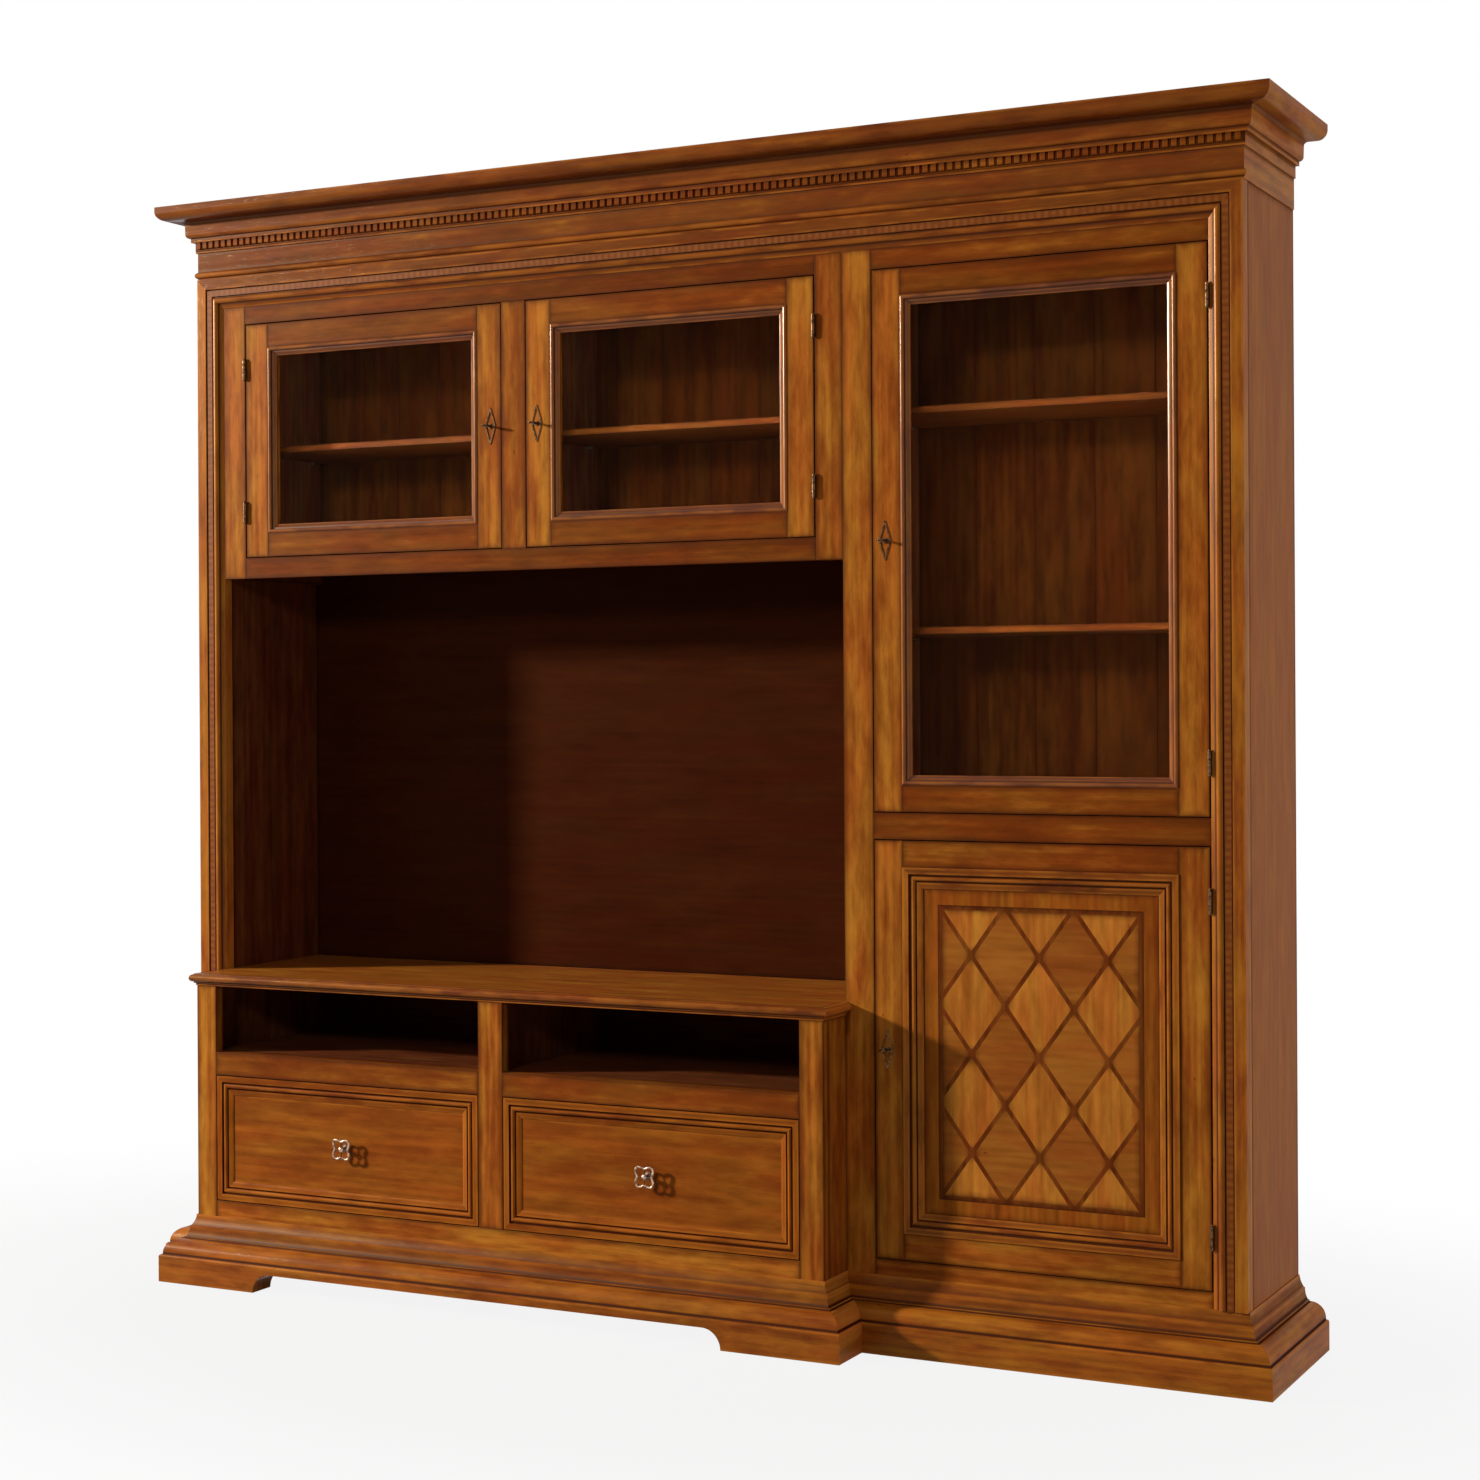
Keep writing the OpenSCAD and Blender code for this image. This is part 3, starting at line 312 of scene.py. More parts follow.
# The edge finishes pale the edges, partly as wear and partly as a painted highlight.
cherry_edge = wood("cherry_front_worn_highlit_edge", honey, chestnut, worn_and_highlit=0.7)
moulded = wood("cherry_moulding", (172, 98, 29), (116, 54, 14), gloss=0.27, shine=0.2)
bead_wood = wood("cherry_glass_bead", (164, 90, 26), (106, 48, 12), gloss=0.22, shine=0.35)
# The right end's moulding, painted lighter as painted light.
right_moulding_painted_light = wood("cherry_right_moulding_painted_light", (204, 124, 52), (150, 84, 33), shine=0.02)
# The left end's moulding, painted darker as painted shade.
left_moulding_painted_shade = wood("cherry_left_moulding_painted_shade", (132, 70, 22), (92, 45, 13), shine=0.02)
# The desk, painted lighter as a painted reflection of its polish.
desk_wood_painted_light = wood("polished_desk_painted_light", (206, 128, 48), (158, 86, 28), gloss=0.3, shine=0.3)
dentil_wood = wood("cherry_dentils", (188, 106, 37), (138, 70, 22))
panel_wood = wood("cherry_panel", (168, 92, 28), (120, 58, 16), contrast=0.8)
# The right end's board, painted lighter as painted light.
right_end_colours_painted_light = (196, 114, 38), (152, 83, 26)
right_end_painted_light = wood("cherry_right_end_painted_light", *right_end_colours_painted_light, contrast=0.5, shine=0.015)
right_end_edge_painted_light = wood("cherry_right_end_worn_highlit_edge_painted_light", *right_end_colours_painted_light, contrast=0.5, worn_and_highlit=0.7, shine=0.015)
# The left end's board, painted darker as painted shade.
left_end_painted_shade = wood("cherry_left_end_painted_shade", (134, 72, 24), (100, 51, 16), contrast=0.5, shine=0.015)
inside_wood = wood("cherry_inside", (132, 72, 40), (92, 46, 25), (38, 16, 8), shine=0.04)
back_colours = (98, 44, 18), (64, 26, 9), (34, 13, 6)
back_wood = wood("stained_back", *back_colours, contrast=0.6, shine=0.02)
boarding_wood = wood("cherry_boarding", (98, 46, 13), (64, 27, 7), shine=0.01)
box_wood = wood("drawer_box_wood", (196, 150, 96), (160, 112, 66), contrast=0.7)
print("wood finishes: 16, of", len(cherry.node_tree.nodes), "nodes each")


# %% [markdown]
# ## The inlays
# Two kinds of inlay are let into the wood. The posts carry a banding of short blocks, dark and less
# dark by turns, between two thin dark lines, worked out from the distance along the strip. The door
# panel carries a lattice of dark strips round lozenges of veneer, which are plain woods of their
# own. The dark lozenges are painted darker, as painted shade for the lamp light that level fibres
# throw less of to the eye.

# %% Banding and lattice
pitch, half_strip = 14 * MM, 6.5 * MM


def banding_finish():
    """Blocks along the strip: the distance along it runs up and down between 0 and half a
    pitch, and a block is light where it is past the middle of that."""
    f = Finish("inlaid_banding")
    grain = f.attribute("grain", "Vector")
    axes = f.node("ShaderNodeSeparateXYZ", {}, {"Vector": grain}, "X")
    along, across = axes, axes.part("Z")
    beat = f.node("ShaderNodeMath", {"operation": "PINGPONG"}, {0: along, 1: pitch / 2})
    block = (beat / (pitch / 2)).between(0.3, 0.6)
    off_middle = f.node("ShaderNodeMath", {"operation": "ABSOLUTE"}, {0: across})
    edge = (off_middle / half_strip).between(0.7, 0.85)
    cloth = f.noise(grain.stretched(30, 160, 160), detail=3.0)
    colour = f.mix(paint(112, 56, 19), paint(132, 72, 25), block * cloth.between(0.25, 0.6))
    colour = f.mix(colour, paint(66, 28, 9), edge * 0.45)
    sockets = {"Base Color": colour, "Roughness": cloth * 0.2 + 0.35}
    sockets |= {"Specular IOR Level": 0.18, "Specular Tint": (1.0, 0.62, 0.34, 1.0)}
    return f.end(f.node("ShaderNodeBsdfPrincipled", {}, sockets))


banding = banding_finish()
light_lozenge = wood("lozenge_light", (202, 124, 48), (152, 84, 29), contrast=0.9)
# The dark lozenges: painted darker, as painted shade.
dark_lozenge_painted_shade = wood("lozenge_dark_painted_shade", (172, 100, 38), (134, 72, 24), contrast=0.7)
strip_wood = wood("inlay_strip", (128, 64, 24), (88, 38, 10), (60, 24, 8), contrast=1.2)
print("banding pitch:", pitch / MM, "mm")


# %% [markdown]
# ## Glass and metal
# The panes are clear float glass that mirrors almost nothing, as in the photograph. Light
# from the lamps would have to find its way through a refracting pane by chance, so for
# shadow rays alone the glass is transparent, and the shelves behind it are lit. The locks,
# keys and hinges are burnished brass gone brown, and the knobs are antique nickel, dark in
# the hollows and bright where fingers rub.

# %% Glass, brass, nickel and steel
def glass_finish():
    """Refracting glass that is plainly transparent to shadow rays."""
    f = Finish("float_glass")
    sockets = {"Base Color": (0.97, 0.99, 0.98, 1), "Roughness": 0.0}
    sockets |= {"IOR": 1.06, "Transmission Weight": 1.0}
    pane = f.node("ShaderNodeBsdfPrincipled", {}, sockets)
    clear = f.node("ShaderNodeBsdfTransparent", {}, {"Color": (0.93, 0.95, 0.94, 1)})
    shadow = f.node("ShaderNodeLightPath", output="Is Shadow Ray")
    return f.end(f.node("ShaderNodeMixShader", {}, {0: shadow, 1: pane, 2: clear}))


def metal(name, bright, dull, roughness):
    """Old metal: patches of dull tarnish over a brighter ground, from two sizes of noise."""
    f = Finish(name)
    place = f.place()
    tarnish = f.noise(place, scale=190.0, detail=4.0, roughness=0.65)
    scratch = f.noise(place.stretched(900, 900, 260), detail=2.0)
    # Where the glaze attribute is set, the metal is painted dull too: tarnish and painted shade.
    patches = tarnish.between(0.38, 0.66).most(f.attribute("glaze_and_painted_shade"))
    colour = f.mix(paint(*bright), paint(*dull), patches)
    height = tarnish * 0.6 + scratch * 0.3
    sockets = {"Height": height, "Strength": 0.3, "Distance": 0.3 * MM}
    relief = f.node("ShaderNodeBump", {}, sockets)
    roughness = patches * 0.22 + scratch * 0.12 + roughness
    sockets = {"Base Color": colour, "Metallic": 1.0, "Roughness": roughness, "Normal": relief}
    return f.end(f.node("ShaderNodeBsdfPrincipled", {}, sockets))


glass = glass_finish()
brass = metal("aged_brass", (104, 76, 50), (46, 31, 22), 0.3)
nickel = metal("antique_nickel", (204, 172, 148), (84, 62, 48), 0.26)
steel = metal("bright_steel", (200, 200, 200), (150, 150, 150), 0.25)
print("metals: 3, glass: 1")


# %% [markdown]
# ## Boards
# The flat boards of the model have the right size and every bore and pocket, so their mesh is kept
# as a copy. The imported mesh is loose triangles: its doubles are merged, and triangles in one plane
# are joined, so that a Bevel modifier can round the real edges and nothing else. A sanded edge of
# under a millimetre is what catches the light on furniture. The bevel is given a material of its
# own, the same wood painted paler, partly as wear and partly as a painted highlight.

# %% Find the separate boards of a mesh
def solid_numbers(count, edges):
    """A number for each vertex, the same all over one solid: the lowest vertex number spreads
    along the edges until nothing changes, and each pass also jumps to the number's own number."""
    label = np.arange(count)
    while True:
        new = label.copy()
        low = np.minimum(label[edges[:, 0]], label[edges[:, 1]])
        np.minimum.at(new, edges[:, 0], low)
        np.minimum.at(new, edges[:, 1], low)
        new = new[new]
        if np.array_equal(new, label):
            return np.unique(label, return_inverse=True)[1]
        label = new


print("two loose edges make", solid_numbers(4, np.array([[0, 1], [2, 3]])).max() + 1, "solids")

# %% Tone, painted shade and grain of each board
level_painted_shade = 2.0
furthest_cut = np.array([4, 0.25, 0.25])


def tones_and_painted_shade(chance, level, height):
    """One tone per board, by chance, plus painted shade on level boards. Fibres that lie level throw
    less of the lamp's light to the eye than upright ones, most of all high up, so level boards are
    painted darker."""
    painted_shade = level_painted_shade * level * np.clip(1.9 * height - 0.1, 0, 1.1)
    return chance.uniform(-0.4, 0.4, len(level)) - painted_shade


def cuts(chance, number):
    """Where in the tree each board is cut from: up to 4 m along it and 0.25 m across."""
    return chance.uniform(-furthest_cut, furthest_cut, (number, 3))


def grain_of(points, solid, seed, longest=None):
    """Each vertex's place in its own board (spot), first axis along the board's longest side,
    the board's half size, and grain: the place plus a random shift per board, so that no two
    boards are cut from the same spot of the tree."""
    number = solid.max() + 1
    low, high = np.full((number, 3), 1e9), np.full((number, 3), -1e9)
    np.minimum.at(low, solid, points)
    np.maximum.at(high, solid, points)
    size = high - low
    if longest is not None:
        size[:, longest] += 10
    order = np.argsort(-size, axis=1)
    chance = np.random.default_rng(seed)
    shift = cuts(chance, number)
    spot = np.take_along_axis(points - (low + high)[solid] / 2, order[solid], axis=1)
    half = np.take_along_axis((high - low) / 2, order, axis=1)[solid]
    tone_and_painted_shade = tones_and_painted_shade(chance, order[:, 0] == 0, (low + high)[:, 2] / 2)
    return {"grain": spot + shift[solid], "spot": spot, "half": half, "tone_and_painted_shade": tone_and_painted_shade[solid]}


print("a level board at the top is toned down by", round(level_painted_shade * 1.1, 2))

# %% Dress a node: the copy, its grain and its rounded edges
sanded = 0.7 * MM


def vectors(items, field):
    """A vector for each item of a mesh, such as each vertex's co or each face's normal."""
    values = np.empty(len(items) * 3, np.float32)
    items.foreach_get(field, values)
    return values.reshape(-1, 3)


def put(mesh, name, kind, values):
    """Stores one value per vertex in the mesh under a name."""
    layer = mesh.attributes.new(name, kind, "POINT")
    field = "vector" if kind == "FLOAT_VECTOR" else "value"
    layer.data.foreach_set(field, np.asarray(values, np.float32).ravel())


def dress(
    node, finish, edge=None, rounding=sanded, longest=None, shade=0.0, show_x=None, inside=None
):
    """A copy of a CAD node with merged doubles, whole faces, grain, and rounded edges. shade paints
    its boards lighter or darker, as painted light or painted shade. With show_x, only faces in that
    plane X = show_x get the finish, and the others are stained as the inside."""
    mesh = frame["nodes"][node].data.copy()
    mesh.name = node + "_dressed"
    built = bmesh.new()
    built.from_mesh(mesh)
    bmesh.ops.remove_doubles(built, verts=built.verts, dist=0.01 * MM)
    in_one_plane = np.radians(0.6)
    bmesh.ops.dissolve_limit(
        built, angle_limit=in_one_plane, verts=built.verts, edges=built.edges
    )
    built.to_mesh(mesh)
    built.free()
    points = vectors(mesh.vertices, "co").astype(float)
    edges = np.empty(len(mesh.edges) * 2, np.int32)
    mesh.edges.foreach_get("vertices", edges)
    solid = solid_numbers(len(points), edges.reshape(-1, 2))
    values = grain_of(points, solid, zlib.crc32(node.encode()), longest)
    for key in ("grain", "spot", "half"):
        put(mesh, key, "FLOAT_VECTOR", values[key])
    put(mesh, "tone_and_painted_shade", "FLOAT", values["tone_and_painted_shade"] + shade)
    mesh.materials.clear()
    for each in (finish, edge or finish, inside or finish):
        mesh.materials.append(each)
    middle_x = vectors(mesh.polygons, "center")[:, 0]
    hidden = np.abs(middle_x - show_x) > 0.1 * MM if inside else np.zeros(len(middle_x))
    mesh.polygons.foreach_set("material_index", (hidden * 2).astype(np.int32))
    piece = in_scene(node + "_dressed", mesh)
    if rounding:
        bevel = piece.modifiers.new("sanded_edges", "BEVEL")
        bevel.width, bevel.segments, bevel.material = rounding, 2, 1
        bevel.limit_method, bevel.angle_limit = "ANGLE", np.radians(40)
    settle(piece, node)
    return piece


def settle(piece, *nodes):
    """The piece stands for these CAD nodes: they are hidden, and it rides on their body."""
    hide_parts(*nodes)
    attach(piece, body_of_node[nodes[0]])


print("sanded edges:", sanded / MM, "mm")


# %% [markdown]
# ## Mouldings
# A moulding is one outline pushed along a line, which is how a spindle moulder makes it. A Curve
# object with a bevel profile could do it too, but its corners swell. Here every run is its own bar,
# cut at its ends by slanted planes, so that it meets its neighbour in a mitre and its grain turns
# the corner, as on the real unit. The outline's corners are rounded first. Then its bend is measured
# at each point: where it turns inwards, it is painted darker, partly for the glaze that stays there
# and partly as painted shade, and where it turns outwards, it is painted paler, partly for wear and
# partly as a painted highlight. Runs along the sides take the finish of their own end of the unit:
# painted lighter on the right, as painted light, and darker on the left, as painted shade.

# %% Outlines
point_step = 1.2 * MM
full_glaze_and_shade, full_wear_and_highlight = 0.5, 1.2


def arc(centre, radius, start, stop, count=9):
    """Points on a circle: centre + radius (cos a, sin a), a from start to stop in degrees."""
    a = np.radians(np.linspace(start, stop, count))
    return np.column_stack([centre[0] + radius * np.cos(a), centre[1] + radius * np.sin(a)])


def bend(a, b, rise, count=9):
    """A slack curve from a to b that bulges to the right of the way by rise: a + s (b - a)
    plus 4 rise s (1 - s) along the normal."""
    a, b = np.asarray(a, float), np.asarray(b, float)
    s = np.linspace(0, 1, count)[:, None]
    way = (b - a) / np.linalg.norm(b - a)
    return a + s * (b - a) + 4 * rise * s * (1 - s) * np.array([way[1], -way[0]])


def outline(*parts):
    """Joins points and arcs, in millimetres, into one closed outline in metres."""
    return np.vstack([np.atleast_2d(p) for p in parts]).astype(float) * MM


def softened(points, radius):
    """Each sharp corner becomes (1-s)^2 a + 2s(1-s) corner + s^2 b, where a and b lie up to
    radius from it on its two sides."""
    before, after = np.roll(points, 1, 0) - points, np.roll(points, -1, 0) - points
    n, m = np.linalg.norm(before, axis=1), np.linalg.norm(after, axis=1)
    turn = np.arccos(np.clip(-(before * after).sum(1) / (n * m), -1, 1))
    cut = np.where(turn > np.radians(20), radius, 0)
    a = points + before * (np.minimum(cut, 0.4 * n) / n)[:, None]
    b = points + after * (np.minimum(cut, 0.4 * m) / m)[:, None]
    s = np.linspace(0, 1, 5)[None, :, None]
    curve = (1 - s) ** 2 * a[:, None] + 2 * s * (1 - s) * points[:, None] + s**2 * b[:, None]
    flat = curve.reshape(-1, 2)
    keep = np.linalg.norm(flat - np.roll(flat, 1, 0), axis=1) > 1e-7
    return flat[keep]


def section(points, rounding=0.8, spread=2.2):
    """Rounds an outline, adds a point every 1.2 mm, and measures its bend round each point:
    the turn to the left in radians, weighed by exp(-d^2 / 2 spread^2) over the distance d."""
    p = softened(points, rounding * MM)
    if (p[:, 0] * np.roll(p[:, 1], -1) - p[:, 1] * np.roll(p[:, 0], -1)).sum() < 0:
        p = p[::-1]
    closed = np.vstack([p, p[:1]])
    travel = np.r_[0, np.cumsum(np.linalg.norm(np.diff(closed, axis=0), axis=1))]
    at = np.unique(np.r_[travel[:-1], np.arange(0, travel[-1], point_step)])
    at = at[np.r_[True, np.diff(at) > 1e-6]]
    fine = np.column_stack([np.interp(at, travel, closed[:, axis]) for axis in (0, 1)])
    e, g = fine - np.roll(fine, 1, 0), np.roll(fine, -1, 0) - fine
    turn = np.arctan2(e[:, 0] * g[:, 1] - e[:, 1] * g[:, 0], (e * g).sum(1))
    gap = np.abs(at[:, None] - at[None, :])
    gap = np.minimum(gap, travel[-1] - gap)
    felt = (np.exp(-0.5 * (gap / (spread * MM)) ** 2) * turn[None, :]).sum(1)
    # Inward turns are painted darker, as glaze and painted shade; outward turns paler, as wear and a
    # painted highlight.
    glaze_and_painted_shade, wear_and_highlight = np.clip(-felt / full_glaze_and_shade, 0, 1), np.clip(felt / full_wear_and_highlight, 0, 1)
    return {"points": fine, "glaze_and_painted_shade": glaze_and_painted_shade, "wear_and_highlight": wear_and_highlight}


square_line = section(outline((0, 0), (20, 0), (20, 20), (0, 20)))
print("points round a square of 20 mm:", len(square_line["points"]))

# %% Bars
def skin(points, grain, glaze_and_painted_shade, wear_and_highlight, inside_out=False, hoop=False):
    """Faces between the rings of a grid of points. The two end rings get a face each, or are
    joined to each other in a hoop."""
    rows, n = points.shape[:2]
    row = np.arange(rows if hoop else rows - 1)[:, None]
    here, there = row * n, (row + 1) % rows * n
    i, j = np.arange(n), (np.arange(n) + 1) % n
    quads = np.stack([here + i, here + j, there + j, there + i], -1).reshape(-1, 4)
    caps = [] if hoop else [i[::-1], i + (rows - 1) * n]
    if inside_out:
        quads, caps = quads[:, ::-1], [cap[::-1] for cap in caps]
    return {
        "points": points.reshape(-1, 3),
        "quads": quads,
        "caps": caps,
        "grain": grain.reshape(-1, 3),
        "level": 0.0,
        "side_run": 0.0,
        "glaze_and_painted_shade": np.broadcast_to(glaze_and_painted_shade, (rows, n)).ravel(),
        "wear_and_highlight": np.broadcast_to(wear_and_highlight, (rows, n)).ravel(),
    }


def bar(shape, start, along, out, up, length, lean_out=(0, 0), lean_up=(0, 0), floor=None):
    """A section swept along a line: start + t along + u out + v up for each point (u, v).
    At the first end t = -lean u + lean v, and at the other t = length + lean u - lean v, so a
    lean of 1 is a mitre. floor, if given, has stations and heights below which v can't go."""
    u, v = shape["points"].T
    along, out, up, start = (np.asarray(w, float) for w in (along, out, up, start))
    stations = np.array([0.0, length]) if floor is None else floor[0]
    first = -lean_out[0] * u + lean_up[0] * v
    last = length + lean_out[1] * u - lean_up[1] * v
    share = stations[:, None] / length
    inner = (stations[:, None] > 0) & (stations[:, None] < length)
    t = np.where(inner, stations[:, None], first * (1 - share) + last * share)
    height = np.broadcast_to(v, t.shape) if floor is None else np.maximum(v, floor[1][:, None])
    points = start + t[..., None] * along + u[None, :, None] * out + height[..., None] * up
    grain = np.stack([t, np.broadcast_to(u, t.shape), height], -1)
    inside_out = np.dot(np.cross(out, up), along) < 0
    runs = {"level": along[0] ** 2, "side_run": along[1] ** 2}
    return skin(points, grain, shape["glaze_and_painted_shade"], shape["wear_and_highlight"], inside_out) | runs


# %% Bars joined into one piece
looks_sideways, sharp_from = 0.8, np.radians(32)


def make(name, bars, finish, *nodes, scatter=True, ends=None):
    """Joins bars into one object that stands for the nodes. Each bar is cut from its own spot of the
    tree. ends are the finishes of what looks to the right and to the left: a copy painted lighter,
    as painted light, and one painted darker, as painted shade."""
    chance = np.random.default_rng(zlib.crc32(name.encode()))
    counts = [len(b["points"]) for b in bars]
    first = np.r_[0, np.cumsum(counts)[:-1]]
    faces = [
        (b["quads"] + start).tolist() + [(cap + start).tolist() for cap in b["caps"]]
        for b, start in zip(bars, first)
    ]
    mesh = bpy.data.meshes.new(name)
    mesh.from_pydata(np.vstack([b["points"] for b in bars]).tolist(), [], sum(faces, []))
    shift = cuts(chance, len(bars)) * scatter
    put(mesh, "grain", "FLOAT_VECTOR", np.vstack([b["grain"] + s for b, s in zip(bars, shift)]))
    height = np.array([b["points"][:, 2].mean() for b in bars])
    tone_and_painted_shade = tones_and_painted_shade(chance, np.array([b["level"] for b in bars]), height)
    put(mesh, "tone_and_painted_shade", "FLOAT", np.repeat(tone_and_painted_shade, counts))
    put(mesh, "half", "FLOAT_VECTOR", np.ones((sum(counts), 3)))
    for key in ("glaze_and_painted_shade", "wear_and_highlight"):
        put(mesh, key, "FLOAT", np.concatenate([b[key] for b in bars]))
    for each in (finish, *(ends or (finish, finish))):
        mesh.materials.append(each)
    turned_x = [b["side_run"] * np.sign(b["points"][:, 0].mean()) for b in bars]
    turned_x = np.repeat(turned_x, [len(each) for each in faces])
    turned_x += vectors(mesh.polygons, "normal")[:, 0]
    end = np.select([turned_x > looks_sideways, turned_x < -looks_sideways], [1, 2], 0)
    mesh.polygons.foreach_set("material_index", end.astype(np.int32))
    mesh.shade_smooth()
    mesh.set_sharp_from_angle(angle=sharp_from)
    piece = in_scene(name, mesh)
    settle(piece, *nodes)
    return piece


X, Y, Z = np.eye(3)


def picture_frame(shape, low, high, face):
    """Four mitred bars round a rectangle in the X-Z plane that look to -Y, from its rim in."""
    (x0, z0), (x1, z1) = low, high
    w, h = x1 - x0, z1 - z0
    mitre = {"lean_up": (1, 1)}
    return [
        bar(shape, (x0, face, z0), X, -Y, Z, w, **mitre),
        bar(shape, (x0, face, z1), X, -Y, -Z, w, **mitre),
        bar(shape, (x0, face, z0), Z, -Y, X, h, **mitre),
        bar(shape, (x1, face, z0), Z, -Y, -X, h, **mitre),
    ]


print("long faces of a square bar:", len(bar(square_line, 0 * X, X, -Y, Z, 1.0)["quads"]))


# %% [markdown]
# ## Cornice, plinth and desk edge
# These run round the corners of the unit. The cornice climbs from a small round bead over
# a plain frieze and a row of dentils to a cove and a rounded nose. The plinth goes down
# from a cove over a fat quarter round to a plain board, which is cut away between two
# bracket feet on the media base.

# %% Cornice
low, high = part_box("cornice")
reach, backing, cornice_glaze_and_shade_share = 64, 18, 0.55
face_y = low.y + reach * MM
end_x, right_x = low.x + reach * MM, high.x - reach * MM


def cornice_line(*bead):
    """The cornice from its foot to its nose. Only the front has a round bead on its frieze.
    Its grooves get 0.55 of the glaze and painted shade of the other mouldings."""
    line = section(
        outline(
            (-backing, 0), (2, 0), *bead, (2, 56), (5, 56), (5, 78), (12, 78), (12, 86),
            arc((12, 94), 8, -88, 0), (20, 112), arc((28, 112), 8, 180, 90), (46, 120),
            arc((46, 138), 18, -88, 0), (reach, 148), (-backing, 148),
        ),
    )
    return line | {"glaze_and_painted_shade": line["glaze_and_painted_shade"] * cornice_glaze_and_shade_share}


front_line = cornice_line((2, 3.2), arc((0, 10), 7, -70, 70, 11), (2, 16.8))
side_line = cornice_line()
# Faces looking right are painted lighter and faces looking left darker: painted light and painted
# shade.
side_woods = right_moulding_painted_light, left_moulding_painted_shade
depth = high.y - face_y
make(
    "cornice_moulding",
    [
        bar(front_line, (end_x, face_y, low.z), X, -Y, Z, right_x - end_x, lean_out=(1, 1)),
        bar(side_line, (right_x, face_y, low.z), Y, X, Z, depth, lean_out=(1, 0)),
        bar(side_line, (end_x, face_y, low.z), Y, -X, Z, depth, lean_out=(1, 0)),
    ],
    moulded,
    "cornice",
    ends=side_woods,
)
print("cornice:", round(right_x - end_x, 3), "m long,", len(front_line["points"]), "points round")

# %% Plinth
low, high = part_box("base_plinth")
plinth_out, arch_h, foot_w = 56 * MM, 38 * MM, 182 * MM
plinth_line = section(
    outline(
        (0, 0), (56, 0), arc((52, 51), 4, 2, 88, 5), (50, 55), (50, 58),
        arc((23, 58), 27, 2, 89, 13), (20, 85), (20, 88),
        bend((17, 88), (12, 109.5), -1.6), bend((10, 109.5), (2, 131), -1.6), (0, 131),
    ),
    spread=2.6,
)
base_y, base_left = low.y + plinth_out, low.x + plinth_out
tower_low, tower_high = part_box("tower_plinth")
tower_x = tower_low.x
base_w = tower_x - base_left
quarter = np.radians(np.linspace(0, 90, 12))
rise, run_in = arch_h * np.sin(quarter), arch_h * (1 - np.cos(quarter))
stations = np.r_[0, foot_w + run_in, base_w - foot_w - run_in[::-1], base_w]
arch = (stations, np.r_[0, rise, rise[::-1], 0])
step = face_y - base_y
make(
    "base_plinth_moulding",
    [
        bar(plinth_line, (base_left, base_y, 0), X, -Y, Z, base_w, lean_out=(1, 1), floor=arch),
        bar(plinth_line, (tower_x, base_y, 0), Y, X, Z, step, lean_out=(1, -1)),
        bar(plinth_line, (base_left, base_y, 0), Y, -X, Z, step, lean_out=(1, -1)),
    ],
    moulded,
    "base_plinth",
    ends=side_woods,
)
side_depth = tower_high.y - face_y
make(
    "tower_plinth_moulding",
    [
        bar(plinth_line, (tower_x, face_y, 0), X, -Y, Z, right_x - tower_x, lean_out=(-1, 1)),
        bar(plinth_line, (right_x, face_y, 0), Y, X, Z, side_depth, lean_out=(1, 0)),
    ],
    moulded,
    "tower_plinth",
    ends=side_woods,
)
make(
    "end_plinth_moulding",
    [
        bar(plinth_line, (end_x, face_y, 0), X, -Y, Z, base_left - end_x, lean_out=(1, -1)),
        bar(plinth_line, (end_x, face_y, 0), Y, -X, Z, side_depth, lean_out=(1, 0)),
    ],
    moulded,
    "end_plinth",
    ends=side_woods,
)
print("base plinth:", round(base_w, 3), "m; step:", round(step, 3), "m")

# %% Desk edge
low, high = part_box("desk_nosing")
nosing_line = section(
    outline(
        (0, 0), (1.5, 0), bend((1.5, 3.6), (5, 5), -0.6), (4.5, 7.5),
        arc((4.5, 15), 7.5, -88, 88, 13), (4.5, 24), (0, 24),
    ),
    rounding=0.4,
)
make(
    "desk_edge",
    [
        bar(nosing_line, (base_left, base_y, low.z), X, -Y, Z, base_w, lean_out=(1, 1)),
        bar(nosing_line, (tower_x, base_y, low.z), Y, X, Z, step, lean_out=(1, 0)),
        bar(nosing_line, (base_left, base_y, low.z), Y, -X, Z, step, lean_out=(1, 0)),
    ],
    moulded,
    "desk_nosing",
    ends=side_woods,
)
print("desk edge at", round(low.z, 3), "to", round(high.z, 3), "m")


# %% [markdown]
# ## The moulded posts and head
# A frame of moulding runs up both sides and across under the cornice. From its outer edge
# in it has a plain band, a groove, the inlaid banding, another groove, and a bead that
# falls away to the face. The banding is a piece of its own, so that its blocks can be
# counted from the strip's own beginning.

# %% Posts, head and banding
low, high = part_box("surround")
post_line = section(
    outline(
        (-22, 0), (8, 0), (8, 22), (4, 22), (4, 24), (6, 24), (6, 24.1), (4, 24.2),
        (4, 36.8), (6, 36.9), (6, 37), (3, 37), (3, 39.0),
        arc((2.5, 45.5), 6.5, -84, 78, 15), (0.2, 62), (-22, 62),
    ),
    rounding=0.6,
    spread=1.9,
)
strip_line = section(outline((4, 24.2), (6, 24.2), (6, 36.8), (4, 36.8)), rounding=0.2)
strip_middle = 30.5 * MM
post_h, head_w = high.z - low.z, high.x - low.x


def surround_bars(shape):
    """Left post, right post and head, mitred where they meet."""
    return [
        bar(shape, (low.x, face_y, low.z), Z, -Y, X, post_h, lean_up=(0, 1)),
        bar(shape, (high.x, face_y, low.z), Z, -Y, -X, post_h, lean_up=(0, 1)),
        bar(shape, (low.x, face_y, high.z), X, -Y, -Z, head_w, lean_up=(1, 1)),
    ]


